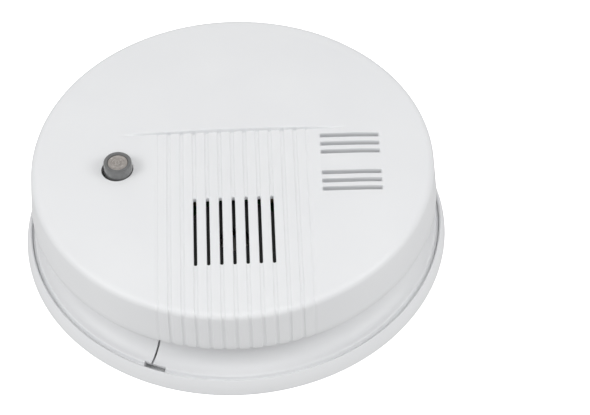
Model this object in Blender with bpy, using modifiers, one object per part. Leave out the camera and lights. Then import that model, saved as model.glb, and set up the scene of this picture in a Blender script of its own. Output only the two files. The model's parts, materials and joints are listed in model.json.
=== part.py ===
"""Domestic smoke detector: a twist-off alarm head on a mounting bracket, modelled for Blender 4.5.

Metres, +Z up. The origin is the centre of the bracket's back face, which lies against the ceiling in
use, and +Z points out of the face of the alarm. The slots in the face run along Y.
"""

import math

import bmesh
import bpy
from mathutils import Matrix, Vector

MM = 0.001

# Driving dimensions, in millimetres.
BRACKET_RADIUS = 63.5
BRACKET_LIP_RADIUS = 62.3
BRACKET_LIP_HEIGHT = 5.2
BRACKET_POCKET_RADIUS = 61.5
BRACKET_FLOOR = 1.8
BRACKET_RING_INNER = 48.0
WEB_HALF_LENGTH = 50.0
WEB_FRONT_Y = -27.0
WEB_BACK_Y = -5.0
WEB_THICKNESS = 1.6
KEYHOLE_SPACING = 66.0
KEYHOLE_Y = -20.0
KEYHOLE_HEAD_RADIUS = 4.2
KEYHOLE_SLOT_RADIUS = 2.2
KEYHOLE_RUN = 8.0

HOOK_ANGLES = (45.0, 135.0, 225.0, 315.0)
HOOK_WIDTH = 10.0
HOOK_POST_INNER = 56.3
HOOK_POST_OUTER = 57.4
HOOK_TIP_RADIUS = 54.3
HOOK_UNDERSIDE = 3.4
HOOK_TOP = 4.3
LUG_TIP_RADIUS = 55.8
LUG_TOP = 3.1

FOOT_RADIUS = 60.9
NECK_RADIUS = 53.8
NECK_INNER = 52.2
NECK_TOP = 20.0
RIM_BOTTOM = 2.2
COVE_TOP = 17.0
COVE_FOOT_RADIUS = 60.3
COVE_FOOT = 5.3
COVE_WALL = 1.5
FLOOR_BOTTOM = 5.6
FLOOR_TOP = 7.2

COVER_BOTTOM = 17.5
COVER_BOTTOM_RADIUS = 60.5
COVER_WALL_TOP = 29.05
COVER_WALL_TOP_RADIUS = 59.6
COVER_CORNER = 2.2
COVER_WALL = 2.0
CROWN_HEIGHT = 33.6
CROWN_FALL = 0.000711
CROWN_INNER = 31.0

PANEL_TOP = 32.871
PANEL_CENTRE_Y = 12.0
PANEL_FALL = 0.000331
PANEL_STRETCH = 1.187
PANEL_EDGE_Y = 10.5

RIB_PITCH = 3.74
RIBS = 12
VALLEY_WIDTH = 1.4
VALLEY_DEPTH = 0.45
SLOT_COUNT = 7
SLOT_WIDTH = 1.0
SLOT_FRONT_Y = -40.7
SLOT_BACK_Y = -15.6

LOUVRE_ROWS = (7.0, 3.7, 0.5, -7.7, -10.9, -14.0)
LOUVRE_X = (26.0, 43.8)
LOUVRE_HALF_WIDTH = 0.82
LOUVRE_DEPTH = 1.5

BUTTON_PLACE = (-33.5, -3.2)
BUTTON_TOP = 35.8
BUTTON_TOP_RADIUS = 4.05
BUTTON_BASE_RADIUS = 4.3
BUTTON_HOLE_RADIUS = 4.6
BUTTON_WALL = 1.0
BUTTON_FLANGE_RADIUS = 5.8
BUTTON_FLANGE_TOP = 29.4
BUTTON_FLANGE_BOTTOM = 28.2
LEG_OFFSET = 5.2

BAY_X = 27.0
BAY_Y = (10.6, 37.6)
BAY_WALL = 1.4
BAY_ROOF = 25.4
BAY_ROOF_TOP = 26.8
DOOR_HINGE = (9.0, 7.2)
DOOR_PIN_RADIUS = 0.8
DOOR_BARREL_RADIUS = 1.4
HINGE_BOSS = 4.2

LEAD_HEIGHT = 20.0
LEAD_SPREAD = 2.2

BOARD_BOTTOM = 11.5
BOARD_TOP = 13.1
BOARD_RADIUS = 50.5
BOARD_EDGE_Y = 7.4

PLUNGER_TOP = 18.6

HORN_PLACE = (0.0, -29.2)
HORN_RADIUS = 15.5
CHAMBER_PLACE = (33.0, -6.5)
CHAMBER_RADIUS = 12.0

COVER_SCREW_RADIUS = 47.0
COVER_SCREW_ANGLES = (90.0, 210.0, 330.0)
COVER_POST_RADIUS = 3.2
COVER_POST_FOOT_RADIUS = 4.4
SCREW_HEAD_SEAT = 9.0
RESISTORS = ((-20.5, -1.6), (-12.0, -1.6), (11.0, -1.6), (-17.0, 3.4))
BOARD_SCREWS = ((-27.0, -34.0), (27.0, -34.0), (0.0, 1.5))

TAMPER_ANGLE = 246.2
SLIT_TOP = 16.0
SLIT_LEAN = -5.5
SLIT_WIDTH = 0.6
NOTCH_HALF_LENGTH = 3.3
NOTCH_TOP = 5.9

BATTERY_X = (-25.6, 20.8)
BATTERY_Y = (10.9, 37.3)
BATTERY_Z = (7.5, 25.0)
BATTERY_CAP = 8.0
TERMINAL_SPACING = 12.7
CLIP_X = (23.6, 24.2)

GAP = 0.3
ROUND = 64
SMALL_ROUND = 20
SMOOTH_ANGLE = 32.0


def colour(red, green, blue):
    return (red, green, blue, 1.0)


FINISHES = {
    "white_plastic": (colour(0.80, 0.81, 0.82), 0.42, 0.0),
    "smoked_clear_plastic": (colour(0.35, 0.35, 0.35), 0.12, 0.0),
    "black_plastic": (colour(0.02, 0.02, 0.02), 0.5, 0.0),
    "board": (colour(0.10, 0.28, 0.12), 0.45, 0.0),
    "steel": (colour(0.60, 0.60, 0.60), 0.3, 1.0),
    "brass": (colour(0.72, 0.55, 0.25), 0.35, 1.0),
    "ceramic": (colour(0.80, 0.78, 0.72), 0.6, 0.0),
    "insulator": (colour(0.85, 0.85, 0.80), 0.5, 0.0),
    "red_lens": (colour(0.55, 0.05, 0.04), 0.15, 0.0),
    "red_insulation": (colour(0.60, 0.03, 0.03), 0.45, 0.0),
    "resistor": (colour(0.65, 0.52, 0.35), 0.5, 0.0),
    "copper_wire": (colour(0.60, 0.30, 0.15), 0.35, 1.0),
    "silver_jacket": (colour(0.72, 0.72, 0.73), 0.35, 0.8),
}


def clear_scene():
    for obj in list(bpy.data.objects):
        bpy.data.objects.remove(obj, do_unlink=True)


def new_collection(name):
    collection = bpy.data.collections.new(name)
    bpy.context.scene.collection.children.link(collection)
    return collection


def make_finish(name):
    base, roughness, metallic = FINISHES[name]
    material = bpy.data.materials.new(name)
    material.use_nodes = True
    shader = material.node_tree.nodes["Principled BSDF"]
    shader.inputs["Base Color"].default_value = base
    shader.inputs["Roughness"].default_value = roughness
    shader.inputs["Metallic"].default_value = metallic
    return material


clear_scene()
PARTS = new_collection("smoke_detector")
CUTTERS = new_collection("cutters")
MATERIALS = {name: make_finish(name) for name in FINISHES}


# ---------------------------------------------------------------- building blocks


def add_object(name, mesh, finish):
    obj = bpy.data.objects.new(name, mesh)
    if finish:
        mesh.materials.append(MATERIALS[finish])
        PARTS.objects.link(obj)
    else:
        CUTTERS.objects.link(obj)
        obj.hide_render = True
        obj.display_type = "WIRE"
    return obj


def mesh_from(name, build):
    mesh = bpy.data.meshes.new(name)
    work = bmesh.new()
    build(work)
    work.to_mesh(mesh)
    work.free()
    return mesh


def boxes(name, finish, *corner_pairs):
    """Boxes from (lowest corner, highest corner) pairs in millimetres, in one object."""

    def build(work):
        for low, high in corner_pairs:
            low, high = Vector(low), Vector(high)
            place = Matrix.Translation((low + high) / 2 * MM) @ Matrix.Diagonal((high - low) * MM).to_4x4()
            bmesh.ops.create_cube(work, size=1.0, matrix=place)

    return add_object(name, mesh_from(name, build), finish)


def rods(name, finish, *rod_list, segments=SMALL_ROUND):
    """Upright cylinders or cones, each (x, y, bottom, top, radius[, top radius]), in one object."""

    def build(work):
        for x, y, bottom, top, radius, *more in rod_list:
            bmesh.ops.create_cone(
                work,
                cap_ends=True,
                segments=segments,
                radius1=radius * MM,
                radius2=(more[0] if more else radius) * MM,
                depth=(top - bottom) * MM,
                matrix=Matrix.Translation(Vector((x, y, (bottom + top) / 2)) * MM),
            )

    return add_object(name, mesh_from(name, build), finish)


def turned(name, finish, profile, steps=SMALL_ROUND, place=(0.0, 0.0), closed=False):
    """A profile of (radius, height) points, outer side running down, turned round the upright axis."""
    mesh = bpy.data.meshes.new(name)
    count = len(profile)
    edges = [(i, i + 1) for i in range(count - 1)]
    if closed:
        edges.append((count - 1, 0))
    mesh.from_pydata([(r * MM, 0.0, z * MM) for r, z in profile], edges, [])
    obj = add_object(name, mesh, finish)
    obj.location = (place[0] * MM, place[1] * MM, 0.0)
    screw = obj.modifiers.new("Turn", "SCREW")
    screw.axis = "Z"
    screw.steps = steps
    screw.render_steps = steps
    screw.use_merge_vertices = True
    screw.merge_threshold = 0.00001
    screw.use_smooth_shade = True
    return obj


def mesh_of_curve(name, curve):
    """The curve's surface as a welded mesh facing outward."""
    guide = bpy.data.objects.new(name + "_guide", curve)
    CUTTERS.objects.link(guide)
    bpy.context.view_layer.update()
    mesh = bpy.data.meshes.new_from_object(guide.evaluated_get(bpy.context.evaluated_depsgraph_get()))
    bpy.data.objects.remove(guide)
    work = bmesh.new()
    work.from_mesh(mesh)
    bmesh.ops.remove_doubles(work, verts=work.verts, dist=0.000001)
    bmesh.ops.recalc_face_normals(work, faces=work.faces)
    work.to_mesh(mesh)
    work.free()
    mesh.materials.clear()
    return mesh


def flat_outline(name, finish, outline, thickness):
    """A closed 2D outline in millimetres, filled and extruded equally both ways, as a mesh."""
    curve = bpy.data.curves.new(name, "CURVE")
    curve.dimensions = "2D"
    curve.fill_mode = "BOTH"
    curve.extrude = thickness / 2 * MM
    spline = curve.splines.new("POLY")
    spline.points.add(len(outline) - 1)
    for point, (x, y) in zip(spline.points, outline):
        point.co = (x * MM, y * MM, 0.0, 1.0)
    spline.use_cyclic_u = True
    return add_object(name, mesh_of_curve(name, curve), finish)


def slab(name, finish, outline, bottom, top):
    """A flat outline lying in XY between two heights."""
    obj = flat_outline(name, finish, outline, top - bottom)
    obj.location.z = (bottom + top) / 2 * MM
    return obj


def fin(name, finish, outline, x, width):
    """An outline of (y, z) points standing in the YZ plane at x, with its thickness along X."""
    obj = flat_outline(name, finish, outline, width)
    turn = Matrix(((0, 0, 1, 0), (1, 0, 0, 0), (0, 1, 0, 0), (0, 0, 0, 1)))
    obj.data.transform(turn)
    obj.location.x = x * MM
    return obj


def fuse(objects, name):
    """Joins cutters that stand apart into one object."""
    work = bmesh.new()
    for obj in objects:
        bpy.context.view_layer.update()
        copy = obj.data.copy()
        copy.transform(obj.matrix_world)
        work.from_mesh(copy)
        bpy.data.objects.remove(obj)
    mesh = bpy.data.meshes.new(name)
    work.to_mesh(mesh)
    work.free()
    return add_object(name, mesh, None)


def boolean(obj, other, operation):
    modifier = obj.modifiers.new(operation.title() + "_" + other.name, "BOOLEAN")
    modifier.operation = operation
    modifier.object = other
    modifier.solver = "EXACT"
    return obj


def cut(obj, other):
    return boolean(obj, other, "DIFFERENCE")


def join(obj, other):
    return boolean(obj, other, "UNION")


def arc(centre, radius, start, end, steps):
    """Points of an arc, angles in degrees."""
    found = []
    for i in range(steps + 1):
        angle = math.radians(start + (end - start) * i / steps)
        found.append((centre[0] + radius * math.cos(angle), centre[1] + radius * math.sin(angle)))
    return found


def at_angle(radius, degrees):
    angle = math.radians(degrees)
    return radius * math.cos(angle), radius * math.sin(angle)


def turn_to(obj, degrees):
    obj.rotation_euler.z = math.radians(degrees)
    return obj


def move_origin(obj, place):
    """Puts an object's origin at a place in millimetres without moving its mesh in the world."""
    shift = Vector(place) * MM
    obj.data.transform(Matrix.Translation(-shift))
    obj.location = shift
    return obj


def wire(name, finish, points, radius):
    """A round wire through (x, y, z) points."""
    curve = bpy.data.curves.new(name, "CURVE")
    curve.dimensions = "3D"
    curve.bevel_depth = radius * MM
    curve.bevel_resolution = 2
    curve.use_fill_caps = True
    spline = curve.splines.new("POLY")
    spline.points.add(len(points) - 1)
    for point, place in zip(spline.points, points):
        point.co = (place[0] * MM, place[1] * MM, place[2] * MM, 1.0)
    return add_object(name, mesh_of_curve(name, curve), finish)


def smooth_path(points, steps):
    """A Catmull-Rom curve through the points, with a few steps between each two."""
    ends = [points[0], *points, points[-1]]
    found = []
    for i in range(1, len(ends) - 2):
        a, b, c, d = (Vector(p) for p in ends[i - 1 : i + 3])
        square, cube = 2 * a - 5 * b + 4 * c - d, 3 * b - a - 3 * c + d
        for k in range(steps):
            t = k / steps
            found.append(tuple((2 * b + (c - a) * t + square * t**2 + cube * t**3) / 2))
    return [*found, points[-1]]


def smoothing_tree():
    """Shades every face smooth and leaves edges sharper than the named angle as creases."""
    tree = bpy.data.node_groups.new("smooth_by_angle", "GeometryNodeTree")
    socket = "NodeSocketGeometry"
    tree.interface.new_socket("Geometry", in_out="INPUT", socket_type=socket)
    tree.interface.new_socket("Geometry", in_out="OUTPUT", socket_type=socket)
    given = tree.nodes.new("NodeGroupInput")
    angle = tree.nodes.new("GeometryNodeInputMeshEdgeAngle")
    gentle = tree.nodes.new("FunctionNodeCompare")
    gentle.operation = "LESS_EQUAL"
    gentle.inputs["B"].default_value = math.radians(SMOOTH_ANGLE)
    faces = tree.nodes.new("GeometryNodeSetShadeSmooth")
    edges = tree.nodes.new("GeometryNodeSetShadeSmooth")
    edges.domain = "EDGE"
    result = tree.nodes.new("NodeGroupOutput")
    tree.links.new(given.outputs[0], faces.inputs["Geometry"])
    tree.links.new(faces.outputs[0], edges.inputs["Geometry"])
    tree.links.new(angle.outputs["Unsigned Angle"], gentle.inputs["A"])
    tree.links.new(gentle.outputs[0], edges.inputs["Shade Smooth"])
    tree.links.new(edges.outputs[0], result.inputs[0])
    return tree


# ---------------------------------------------------------------- mounting bracket


def keyhole(x):
    """Round head hole with a narrower slot running back from it."""
    half = math.degrees(math.asin(KEYHOLE_SLOT_RADIUS / KEYHOLE_HEAD_RADIUS))
    head = arc((x, KEYHOLE_Y), KEYHOLE_HEAD_RADIUS, 90 + half, 450 - half, 18)
    end = arc((x, KEYHOLE_Y + KEYHOLE_RUN), KEYHOLE_SLOT_RADIUS, 0, 180, 8)
    return slab("keyhole_cut", None, head + end, -1.0, WEB_THICKNESS + 1.0)


def mounting_bracket():
    profile = [
        (BRACKET_POCKET_RADIUS, BRACKET_LIP_HEIGHT),
        (BRACKET_LIP_RADIUS - 0.3, BRACKET_LIP_HEIGHT),
        (BRACKET_LIP_RADIUS, BRACKET_LIP_HEIGHT - 0.3),
        (BRACKET_RADIUS, 0.4),
        (BRACKET_RADIUS, 0.0),
        (BRACKET_RING_INNER, 0.0),
        (BRACKET_RING_INNER, BRACKET_FLOOR),
        (BRACKET_POCKET_RADIUS, BRACKET_FLOOR),
    ]
    ring = turned("mounting_bracket", "white_plastic", profile, ROUND, closed=True)
    web_back = (WEB_HALF_LENGTH, WEB_BACK_Y, WEB_THICKNESS)
    web = boxes("bracket_web", None, ((-WEB_HALF_LENGTH, WEB_FRONT_Y, 0.0), web_back))
    for side in (-1, 1):
        cut(web, keyhole(side * KEYHOLE_SPACING / 2))
    join(ring, web)
    half = HOOK_WIDTH / 2
    for angle in HOOK_ANGLES:
        post = boxes("hook_post", None, ((HOOK_POST_INNER, -half, 1.0), (HOOK_POST_OUTER, half, HOOK_TOP)))
        ledge_end = (HOOK_POST_INNER + 0.5, half, HOOK_TOP)
        ledge = boxes("hook_ledge", None, ((HOOK_TIP_RADIUS, -half, HOOK_UNDERSIDE), ledge_end))
        join(ring, turn_to(post, angle))
        join(ring, turn_to(ledge, angle))
    return ring


# ---------------------------------------------------------------- back housing


def cove_points(inset, first, last, steps):
    """The concave skirt from steep to flat, as part of an ellipse, moved into the wall by an inset."""
    across = COVE_FOOT_RADIUS - NECK_RADIUS
    down = COVE_TOP - COVE_FOOT
    found = []
    for i in range(steps + 1):
        angle = math.radians(first + (last - first) * i / steps)
        normal = Vector((math.cos(angle) / across, math.sin(angle) / down)).normalized()
        r = COVE_FOOT_RADIUS - across * math.cos(angle) - inset * normal.x
        z = COVE_TOP - down * math.sin(angle) - inset * normal.y
        found.append((r, z))
    return found


def housing_profile():
    return [
        (0.0, FLOOR_TOP),
        (NECK_INNER, FLOOR_TOP),
        (NECK_INNER, NECK_TOP),
        (NECK_RADIUS, NECK_TOP),
        *cove_points(0.0, 0, 90, 6),
        (FOOT_RADIUS, COVE_FOOT - 0.5),
        (FOOT_RADIUS, RIM_BOTTOM),
        (FOOT_RADIUS - 1.4, RIM_BOTTOM),
        *reversed(cove_points(COVE_WALL, 42, 84, 3)),
        (NECK_RADIUS, 9.0),
        (NECK_RADIUS, RIM_BOTTOM),
        (NECK_INNER, RIM_BOTTOM),
        (NECK_INNER, FLOOR_BOTTOM),
        (0.0, FLOOR_BOTTOM),
    ]


def back_housing():
    body = turned("back_housing", "white_plastic", housing_profile(), ROUND)
    low_y, high_y = BAY_Y
    outer = boxes(
        "bay_outer",
        None,
        (
            (-BAY_X - BAY_WALL, low_y - BAY_WALL, FLOOR_BOTTOM + 0.4),
            (BAY_X + BAY_WALL, high_y + BAY_WALL, BAY_ROOF_TOP),
        ),
    )
    join(body, outer)
    for side in (-1, 1):
        low_x, high_x = sorted((side * (BAY_X + 0.2), side * (BAY_X + HINGE_BOSS)))
        join(body, boxes("hinge_boss", None, ((low_x, 6.2, FLOOR_BOTTOM + 0.2), (high_x, 11.6, 9.6))))
    inside = boxes("bay_inside", None, ((-BAY_X, low_y, FLOOR_TOP - 0.5), (BAY_X, high_y, BAY_ROOF)))
    cut(body, inside)
    mouth_back = (BAY_X, high_y + 0.8, FLOOR_TOP + 2.0)
    cut(body, boxes("bay_mouth", None, ((-BAY_X, DOOR_HINGE[0] - 2.0, 1.0), mouth_back)))
    bore_reach = BAY_X + 2.9
    bore = rods("hinge_bore", None, (0.0, 0.0, -bore_reach, bore_reach, DOOR_PIN_RADIUS + 0.25), segments=16)
    bore.rotation_euler.y = math.radians(90)
    bore.location = (0.0, DOOR_HINGE[0] * MM, DOOR_HINGE[1] * MM)
    cut(body, bore)
    for side in (-1, 1):
        lead_y = (low_y + high_y) / 2 + side * LEAD_SPREAD
        hole = rods("lead_hole", None, (0.0, 0.0, -1.8, 1.8, 1.1), segments=12)
        hole.rotation_euler.y = math.radians(90)
        hole.location = Vector((BAY_X + BAY_WALL / 2, lead_y, LEAD_HEIGHT)) * MM
        cut(body, hole)
    for angle in COVER_SCREW_ANGLES:
        x, y = at_angle(COVER_SCREW_RADIUS, angle)
        join(body, rods("cover_post", None, (x, y, FLOOR_BOTTOM + 0.3, NECK_TOP, COVER_POST_RADIUS)))
        foot = (x, y, FLOOR_BOTTOM + 0.5, SCREW_HEAD_SEAT + 1.6, COVER_POST_FOOT_RADIUS)
        join(body, rods("cover_post_foot", None, foot))
        cut(body, rods("cover_post_bore", None, (x, y, 1.0, NECK_TOP + 1.0, 1.7), segments=16))
        cut(body, rods("cover_head_recess", None, (x, y, 1.0, SCREW_HEAD_SEAT, COVER_POST_RADIUS)))
    for x, y in BOARD_SCREWS:
        join(body, rods("board_post", None, (x, y, FLOOR_BOTTOM + 0.3, BOARD_BOTTOM - GAP, 3.0)))
        bore = (x, y, FLOOR_BOTTOM + 1.0, BOARD_BOTTOM + 1.0, 1.45)
        cut(body, rods("board_post_bore", None, bore, segments=16))
    half = HOOK_WIDTH / 2
    for angle in HOOK_ANGLES:
        lug_end = (LUG_TIP_RADIUS, half, LUG_TOP)
        lug = boxes("bayonet_lug", None, ((NECK_RADIUS - 0.8, -half, RIM_BOTTOM), lug_end))
        join(body, turn_to(lug, angle))
    outside = FOOT_RADIUS + 1.1
    slit_half = SLIT_WIDTH / 2
    slit = boxes("skirt_slit", None, ((NECK_RADIUS + 0.1, -slit_half, 3.0), (outside, slit_half, SLIT_TOP)))
    top = Vector((0.0, 0.0, SLIT_TOP * MM))
    lean = Matrix.Rotation(math.radians(SLIT_LEAN), 4, "X")
    slit.data.transform(Matrix.Translation(top) @ lean @ Matrix.Translation(-top))
    cut(body, turn_to(slit, TAMPER_ANGLE))
    reach = NOTCH_HALF_LENGTH
    notch = boxes("skirt_notch", None, ((FOOT_RADIUS - 0.9, -reach, 1.0), (outside, reach, NOTCH_TOP)))
    cut(body, turn_to(notch, TAMPER_ANGLE))
    return body


# ---------------------------------------------------------------- front cover


def corner_centre():
    return COVER_WALL_TOP_RADIUS - COVER_CORNER, COVER_WALL_TOP


def crown(radius):
    return CROWN_HEIGHT - CROWN_FALL * radius * radius


def panel(x, y):
    return PANEL_TOP - PANEL_FALL * ((x / PANEL_STRETCH) ** 2 + (y - PANEL_CENTRE_Y) ** 2)


def corner_points(inset, steps):
    """The rounded edge of the face, from the crown down to the wall."""
    centre = corner_centre()
    slope = math.degrees(math.atan(2 * CROWN_FALL * centre[0]))
    return arc(centre, COVER_CORNER - inset, 90 - slope, 0, steps)


def cover_profile():
    edge = corner_points(0.0, 4)
    rings = [(edge[0][0] * i / 5, crown(edge[0][0] * i / 5)) for i in range(5)]
    inner_radius = COVER_BOTTOM_RADIUS - COVER_WALL
    inner_edge = 56.6
    inner_rings = [inner_edge * i / 3 for i in range(3, -1, -1)]
    inner = [(r, CROWN_INNER - CROWN_FALL * r * r) for r in inner_rings]
    return [
        *rings,
        *edge,
        (COVER_BOTTOM_RADIUS, COVER_BOTTOM + 0.4),
        (COVER_BOTTOM_RADIUS - 0.4, COVER_BOTTOM),
        (inner_radius, COVER_BOTTOM),
        (inner_radius - 0.6, 27.2),
        *inner,
    ]


def panel_cutter():
    """Everything above the lower panel and in front of the step across the face."""
    reach = 80.0
    bowl = [(0.0, PANEL_TOP + 12.0), (reach, PANEL_TOP + 12.0)]
    bowl += [(reach * i / 6, PANEL_TOP - PANEL_FALL * (reach * i / 6) ** 2) for i in range(6, -1, -1)]
    cutter = turned("panel_cut", None, bowl, ROUND, place=(0.0, PANEL_CENTRE_Y))
    cutter.scale.x = PANEL_STRETCH
    front = boxes("panel_front", None, ((-90.0, -90.0, 20.0), (90.0, PANEL_EDGE_Y, 60.0)))
    return boolean(cutter, front, "INTERSECT")


def valley_outline(x):
    """Section of the cut that leaves one valley between two ribs, over the face and down the wall."""
    top = [(y, panel(x, y) - VALLEY_DEPTH) for y in (PANEL_EDGE_Y, -10.0, -30.0, -45.0)]
    edge = []
    for r, z in corner_points(VALLEY_DEPTH, 3)[1:]:
        edge.append((-math.sqrt(r * r - x * x), z))
    foot = COVER_BOTTOM_RADIUS - VALLEY_DEPTH
    foot_y = -math.sqrt(foot * foot - x * x)
    below = COVER_BOTTOM - 2.0
    return [*top, *edge, (foot_y, below), (-72.0, below), (-72.0, 45.0), (PANEL_EDGE_Y, 45.0)]


def front_cover():
    cover = turned("front_cover", "white_plastic", cover_profile(), ROUND)
    for angle in COVER_SCREW_ANGLES:
        x, y = at_angle(COVER_SCREW_RADIUS, angle)
        join(cover, rods("cover_boss", None, (x, y, NECK_TOP + GAP, 30.4, COVER_POST_RADIUS)))
        cut(cover, rods("cover_boss_bore", None, (x, y, NECK_TOP - 1.0, 28.4, 1.6), segments=16))
    cut(cover, panel_cutter())
    half = RIBS // 2
    valleys = []
    for k in range(1 - half, half):
        x = k * RIB_PITCH
        valleys.append(fin("valley", None, valley_outline(x), x, VALLEY_WIDTH))
    cut(cover, fuse(valleys, "valley_cuts"))
    slots = []
    for i in range(SLOT_COUNT):
        x = (i - SLOT_COUNT // 2) * RIB_PITCH
        slots.append(((x - SLOT_WIDTH / 2, SLOT_FRONT_Y, 25.0), (x + SLOT_WIDTH / 2, SLOT_BACK_Y, 40.0)))
    cut(cover, boxes("slot_cuts", None, *slots))
    cut(cover, rods("button_hole", None, (*BUTTON_PLACE, 25.0, 40.0, BUTTON_HOLE_RADIUS), segments=32))
    cut(cover, fuse([louvre(y) for y in LOUVRE_ROWS], "louvre_cuts"))
    return cover


def louvre(y):
    """Cutter of one blind louvre: a short ramp at the back and a steep front wall, leaning with the panel."""
    middle = sum(LOUVRE_X) / 2
    top = panel(middle, y)
    back, front = LOUVRE_HALF_WIDTH + 0.1, -LOUVRE_HALF_WIDTH
    above = 6.0
    ramp = [(back, 0.1), (back - 0.5, -LOUVRE_DEPTH), (front, -LOUVRE_DEPTH), (front, above), (back, above)]
    cutter = fin("louvre", None, ramp, middle, LOUVRE_X[1] - LOUVRE_X[0])
    cutter.location = Vector((middle, y, top)) * MM
    cutter.rotation_euler.y = math.atan(2 * PANEL_FALL * middle / PANEL_STRETCH**2)
    return cutter


# ---------------------------------------------------------------- moving pieces of the head


def battery_door():
    """Flat door with a hinge barrel along its inner edge and a finger notch at the other."""
    hinge_y, hinge_z = DOOR_HINGE
    span = BAY_X - GAP
    edge = BAY_Y[1] + 0.8 - GAP
    far_corner = (span, edge, FLOOR_TOP - 0.1)
    door = boxes("battery_door", "white_plastic", ((-span, hinge_y, FLOOR_BOTTOM), far_corner))
    move_origin(door, (0.0, hinge_y, hinge_z))
    pin_reach = BAY_X + 2.6
    barrel = rods("door_barrel", None, (0.0, 0.0, -span, span, DOOR_BARREL_RADIUS), segments=16)
    pin = rods("door_pin", None, (0.0, 0.0, -pin_reach, pin_reach, DOOR_PIN_RADIUS), segments=12)
    for rod in (barrel, pin):
        rod.rotation_euler.y = math.radians(90)
        rod.location = door.location
        join(door, rod)
    notch = rods("door_finger_notch", None, (0.0, edge + 2.0, 4.0, 9.0, 6.0))
    return cut(door, notch)


def tamper_tab():
    """Springy finger in the pocket under the skirt, behind the slit and notch."""
    tab = boxes("tamper_tab", "white_plastic", ((54.4, -6.0, 2.6), (57.4, 6.0, 3.6)))
    nib = boxes("tamper_nib", None, ((56.8, -2.6, 2.6), (58.9, 2.6, 3.5)))
    nib.rotation_euler.z = math.radians(TAMPER_ANGLE)
    join(tab, nib)
    return turn_to(tab, TAMPER_ANGLE)


def test_button():
    """Hollow smoked cap with a dished top, held under the cover by a flange and working on a leg."""
    profile = [
        (0.0, BUTTON_TOP - 0.7),
        (2.4, BUTTON_TOP - 0.7),
        (3.0, BUTTON_TOP - 0.1),
        (BUTTON_TOP_RADIUS - 0.35, BUTTON_TOP),
        (BUTTON_TOP_RADIUS, BUTTON_TOP - 0.35),
        (BUTTON_BASE_RADIUS, 32.0),
        (BUTTON_BASE_RADIUS, BUTTON_FLANGE_TOP),
        (BUTTON_FLANGE_RADIUS, BUTTON_FLANGE_TOP),
        (BUTTON_FLANGE_RADIUS, BUTTON_FLANGE_BOTTOM),
        (BUTTON_BASE_RADIUS - BUTTON_WALL, BUTTON_FLANGE_BOTTOM),
        (BUTTON_TOP_RADIUS - BUTTON_WALL, BUTTON_TOP - 1.8),
        (0.0, BUTTON_TOP - 1.8),
    ]
    button = turned("test_button", "smoked_clear_plastic", profile, 32, place=BUTTON_PLACE)
    x, y = BUTTON_PLACE[0] + LEG_OFFSET, BUTTON_PLACE[1]
    low, high = PLUNGER_TOP + GAP, BUTTON_FLANGE_TOP - 0.4
    leg = boxes("button_leg", None, ((x - 0.6, y - 1.2, low), (x + 0.6, y + 1.2, high)))
    return join(button, leg)


def switch_plunger():
    """Stem of the test switch, pushed down by the button's leg."""
    x, y = BUTTON_PLACE[0] + LEG_OFFSET, BUTTON_PLACE[1]
    stem = rods("switch_plunger", "black_plastic", (x, y, PLUNGER_TOP - 3.6, PLUNGER_TOP, 1.1), segments=14)
    return move_origin(stem, (x, y, 0.0))


# ---------------------------------------------------------------- electronics


def circuit_board():
    half = math.degrees(math.asin(BOARD_EDGE_Y / BOARD_RADIUS))
    outline = arc((0.0, 0.0), BOARD_RADIUS, half, -180 - half, 40)
    board = slab("circuit_board", "board", outline, BOARD_BOTTOM, BOARD_TOP)
    for angle in COVER_SCREW_ANGLES[1:]:
        x, y = at_angle(COVER_SCREW_RADIUS, angle)
        cut(board, rods("post_notch", None, (x, y, 9.0, 16.0, 4.8)))
    holes = [(x, y, 9.0, 16.0, 1.7) for x, y in BOARD_SCREWS]
    cut(board, rods("board_screw_holes", None, *holes, segments=16))
    return board


def horn():
    x, y = HORN_PLACE
    low, seat, top = BOARD_TOP + GAP, 19.0, 29.2
    wall = 1.5
    body = [
        (4.0, top),
        (HORN_RADIUS, top),
        (HORN_RADIUS, seat + 0.9),
        (HORN_RADIUS - wall, seat + 0.9),
        (HORN_RADIUS - wall, top - 1.4),
        (4.0, top - 1.4),
    ]
    turned("horn_body", "black_plastic", body, 32, HORN_PLACE, closed=True)
    base = [
        (HORN_RADIUS - wall, seat),
        (HORN_RADIUS, seat),
        (HORN_RADIUS, low),
        (HORN_RADIUS - 3.0, low),
        (HORN_RADIUS - 3.0, seat - 1.0),
        (HORN_RADIUS - wall, seat - 1.0),
    ]
    turned("horn_base_ring", "black_plastic", base, 32, HORN_PLACE, closed=True)
    rods("piezo_plate", "brass", (x, y, seat + 0.3, seat + 0.6, HORN_RADIUS - 0.4), segments=32)
    rods("piezo_ceramic", "ceramic", (x, y, seat + 0.9, seat + 1.2, 9.5), segments=24)
    for i in range(3):
        dx, dy = at_angle(7.0, 90 + 120 * i)
        rods(f"horn_contact_{i + 1}", "steel", (x + dx, y + dy, low, seat, 0.5), segments=8)


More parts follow.
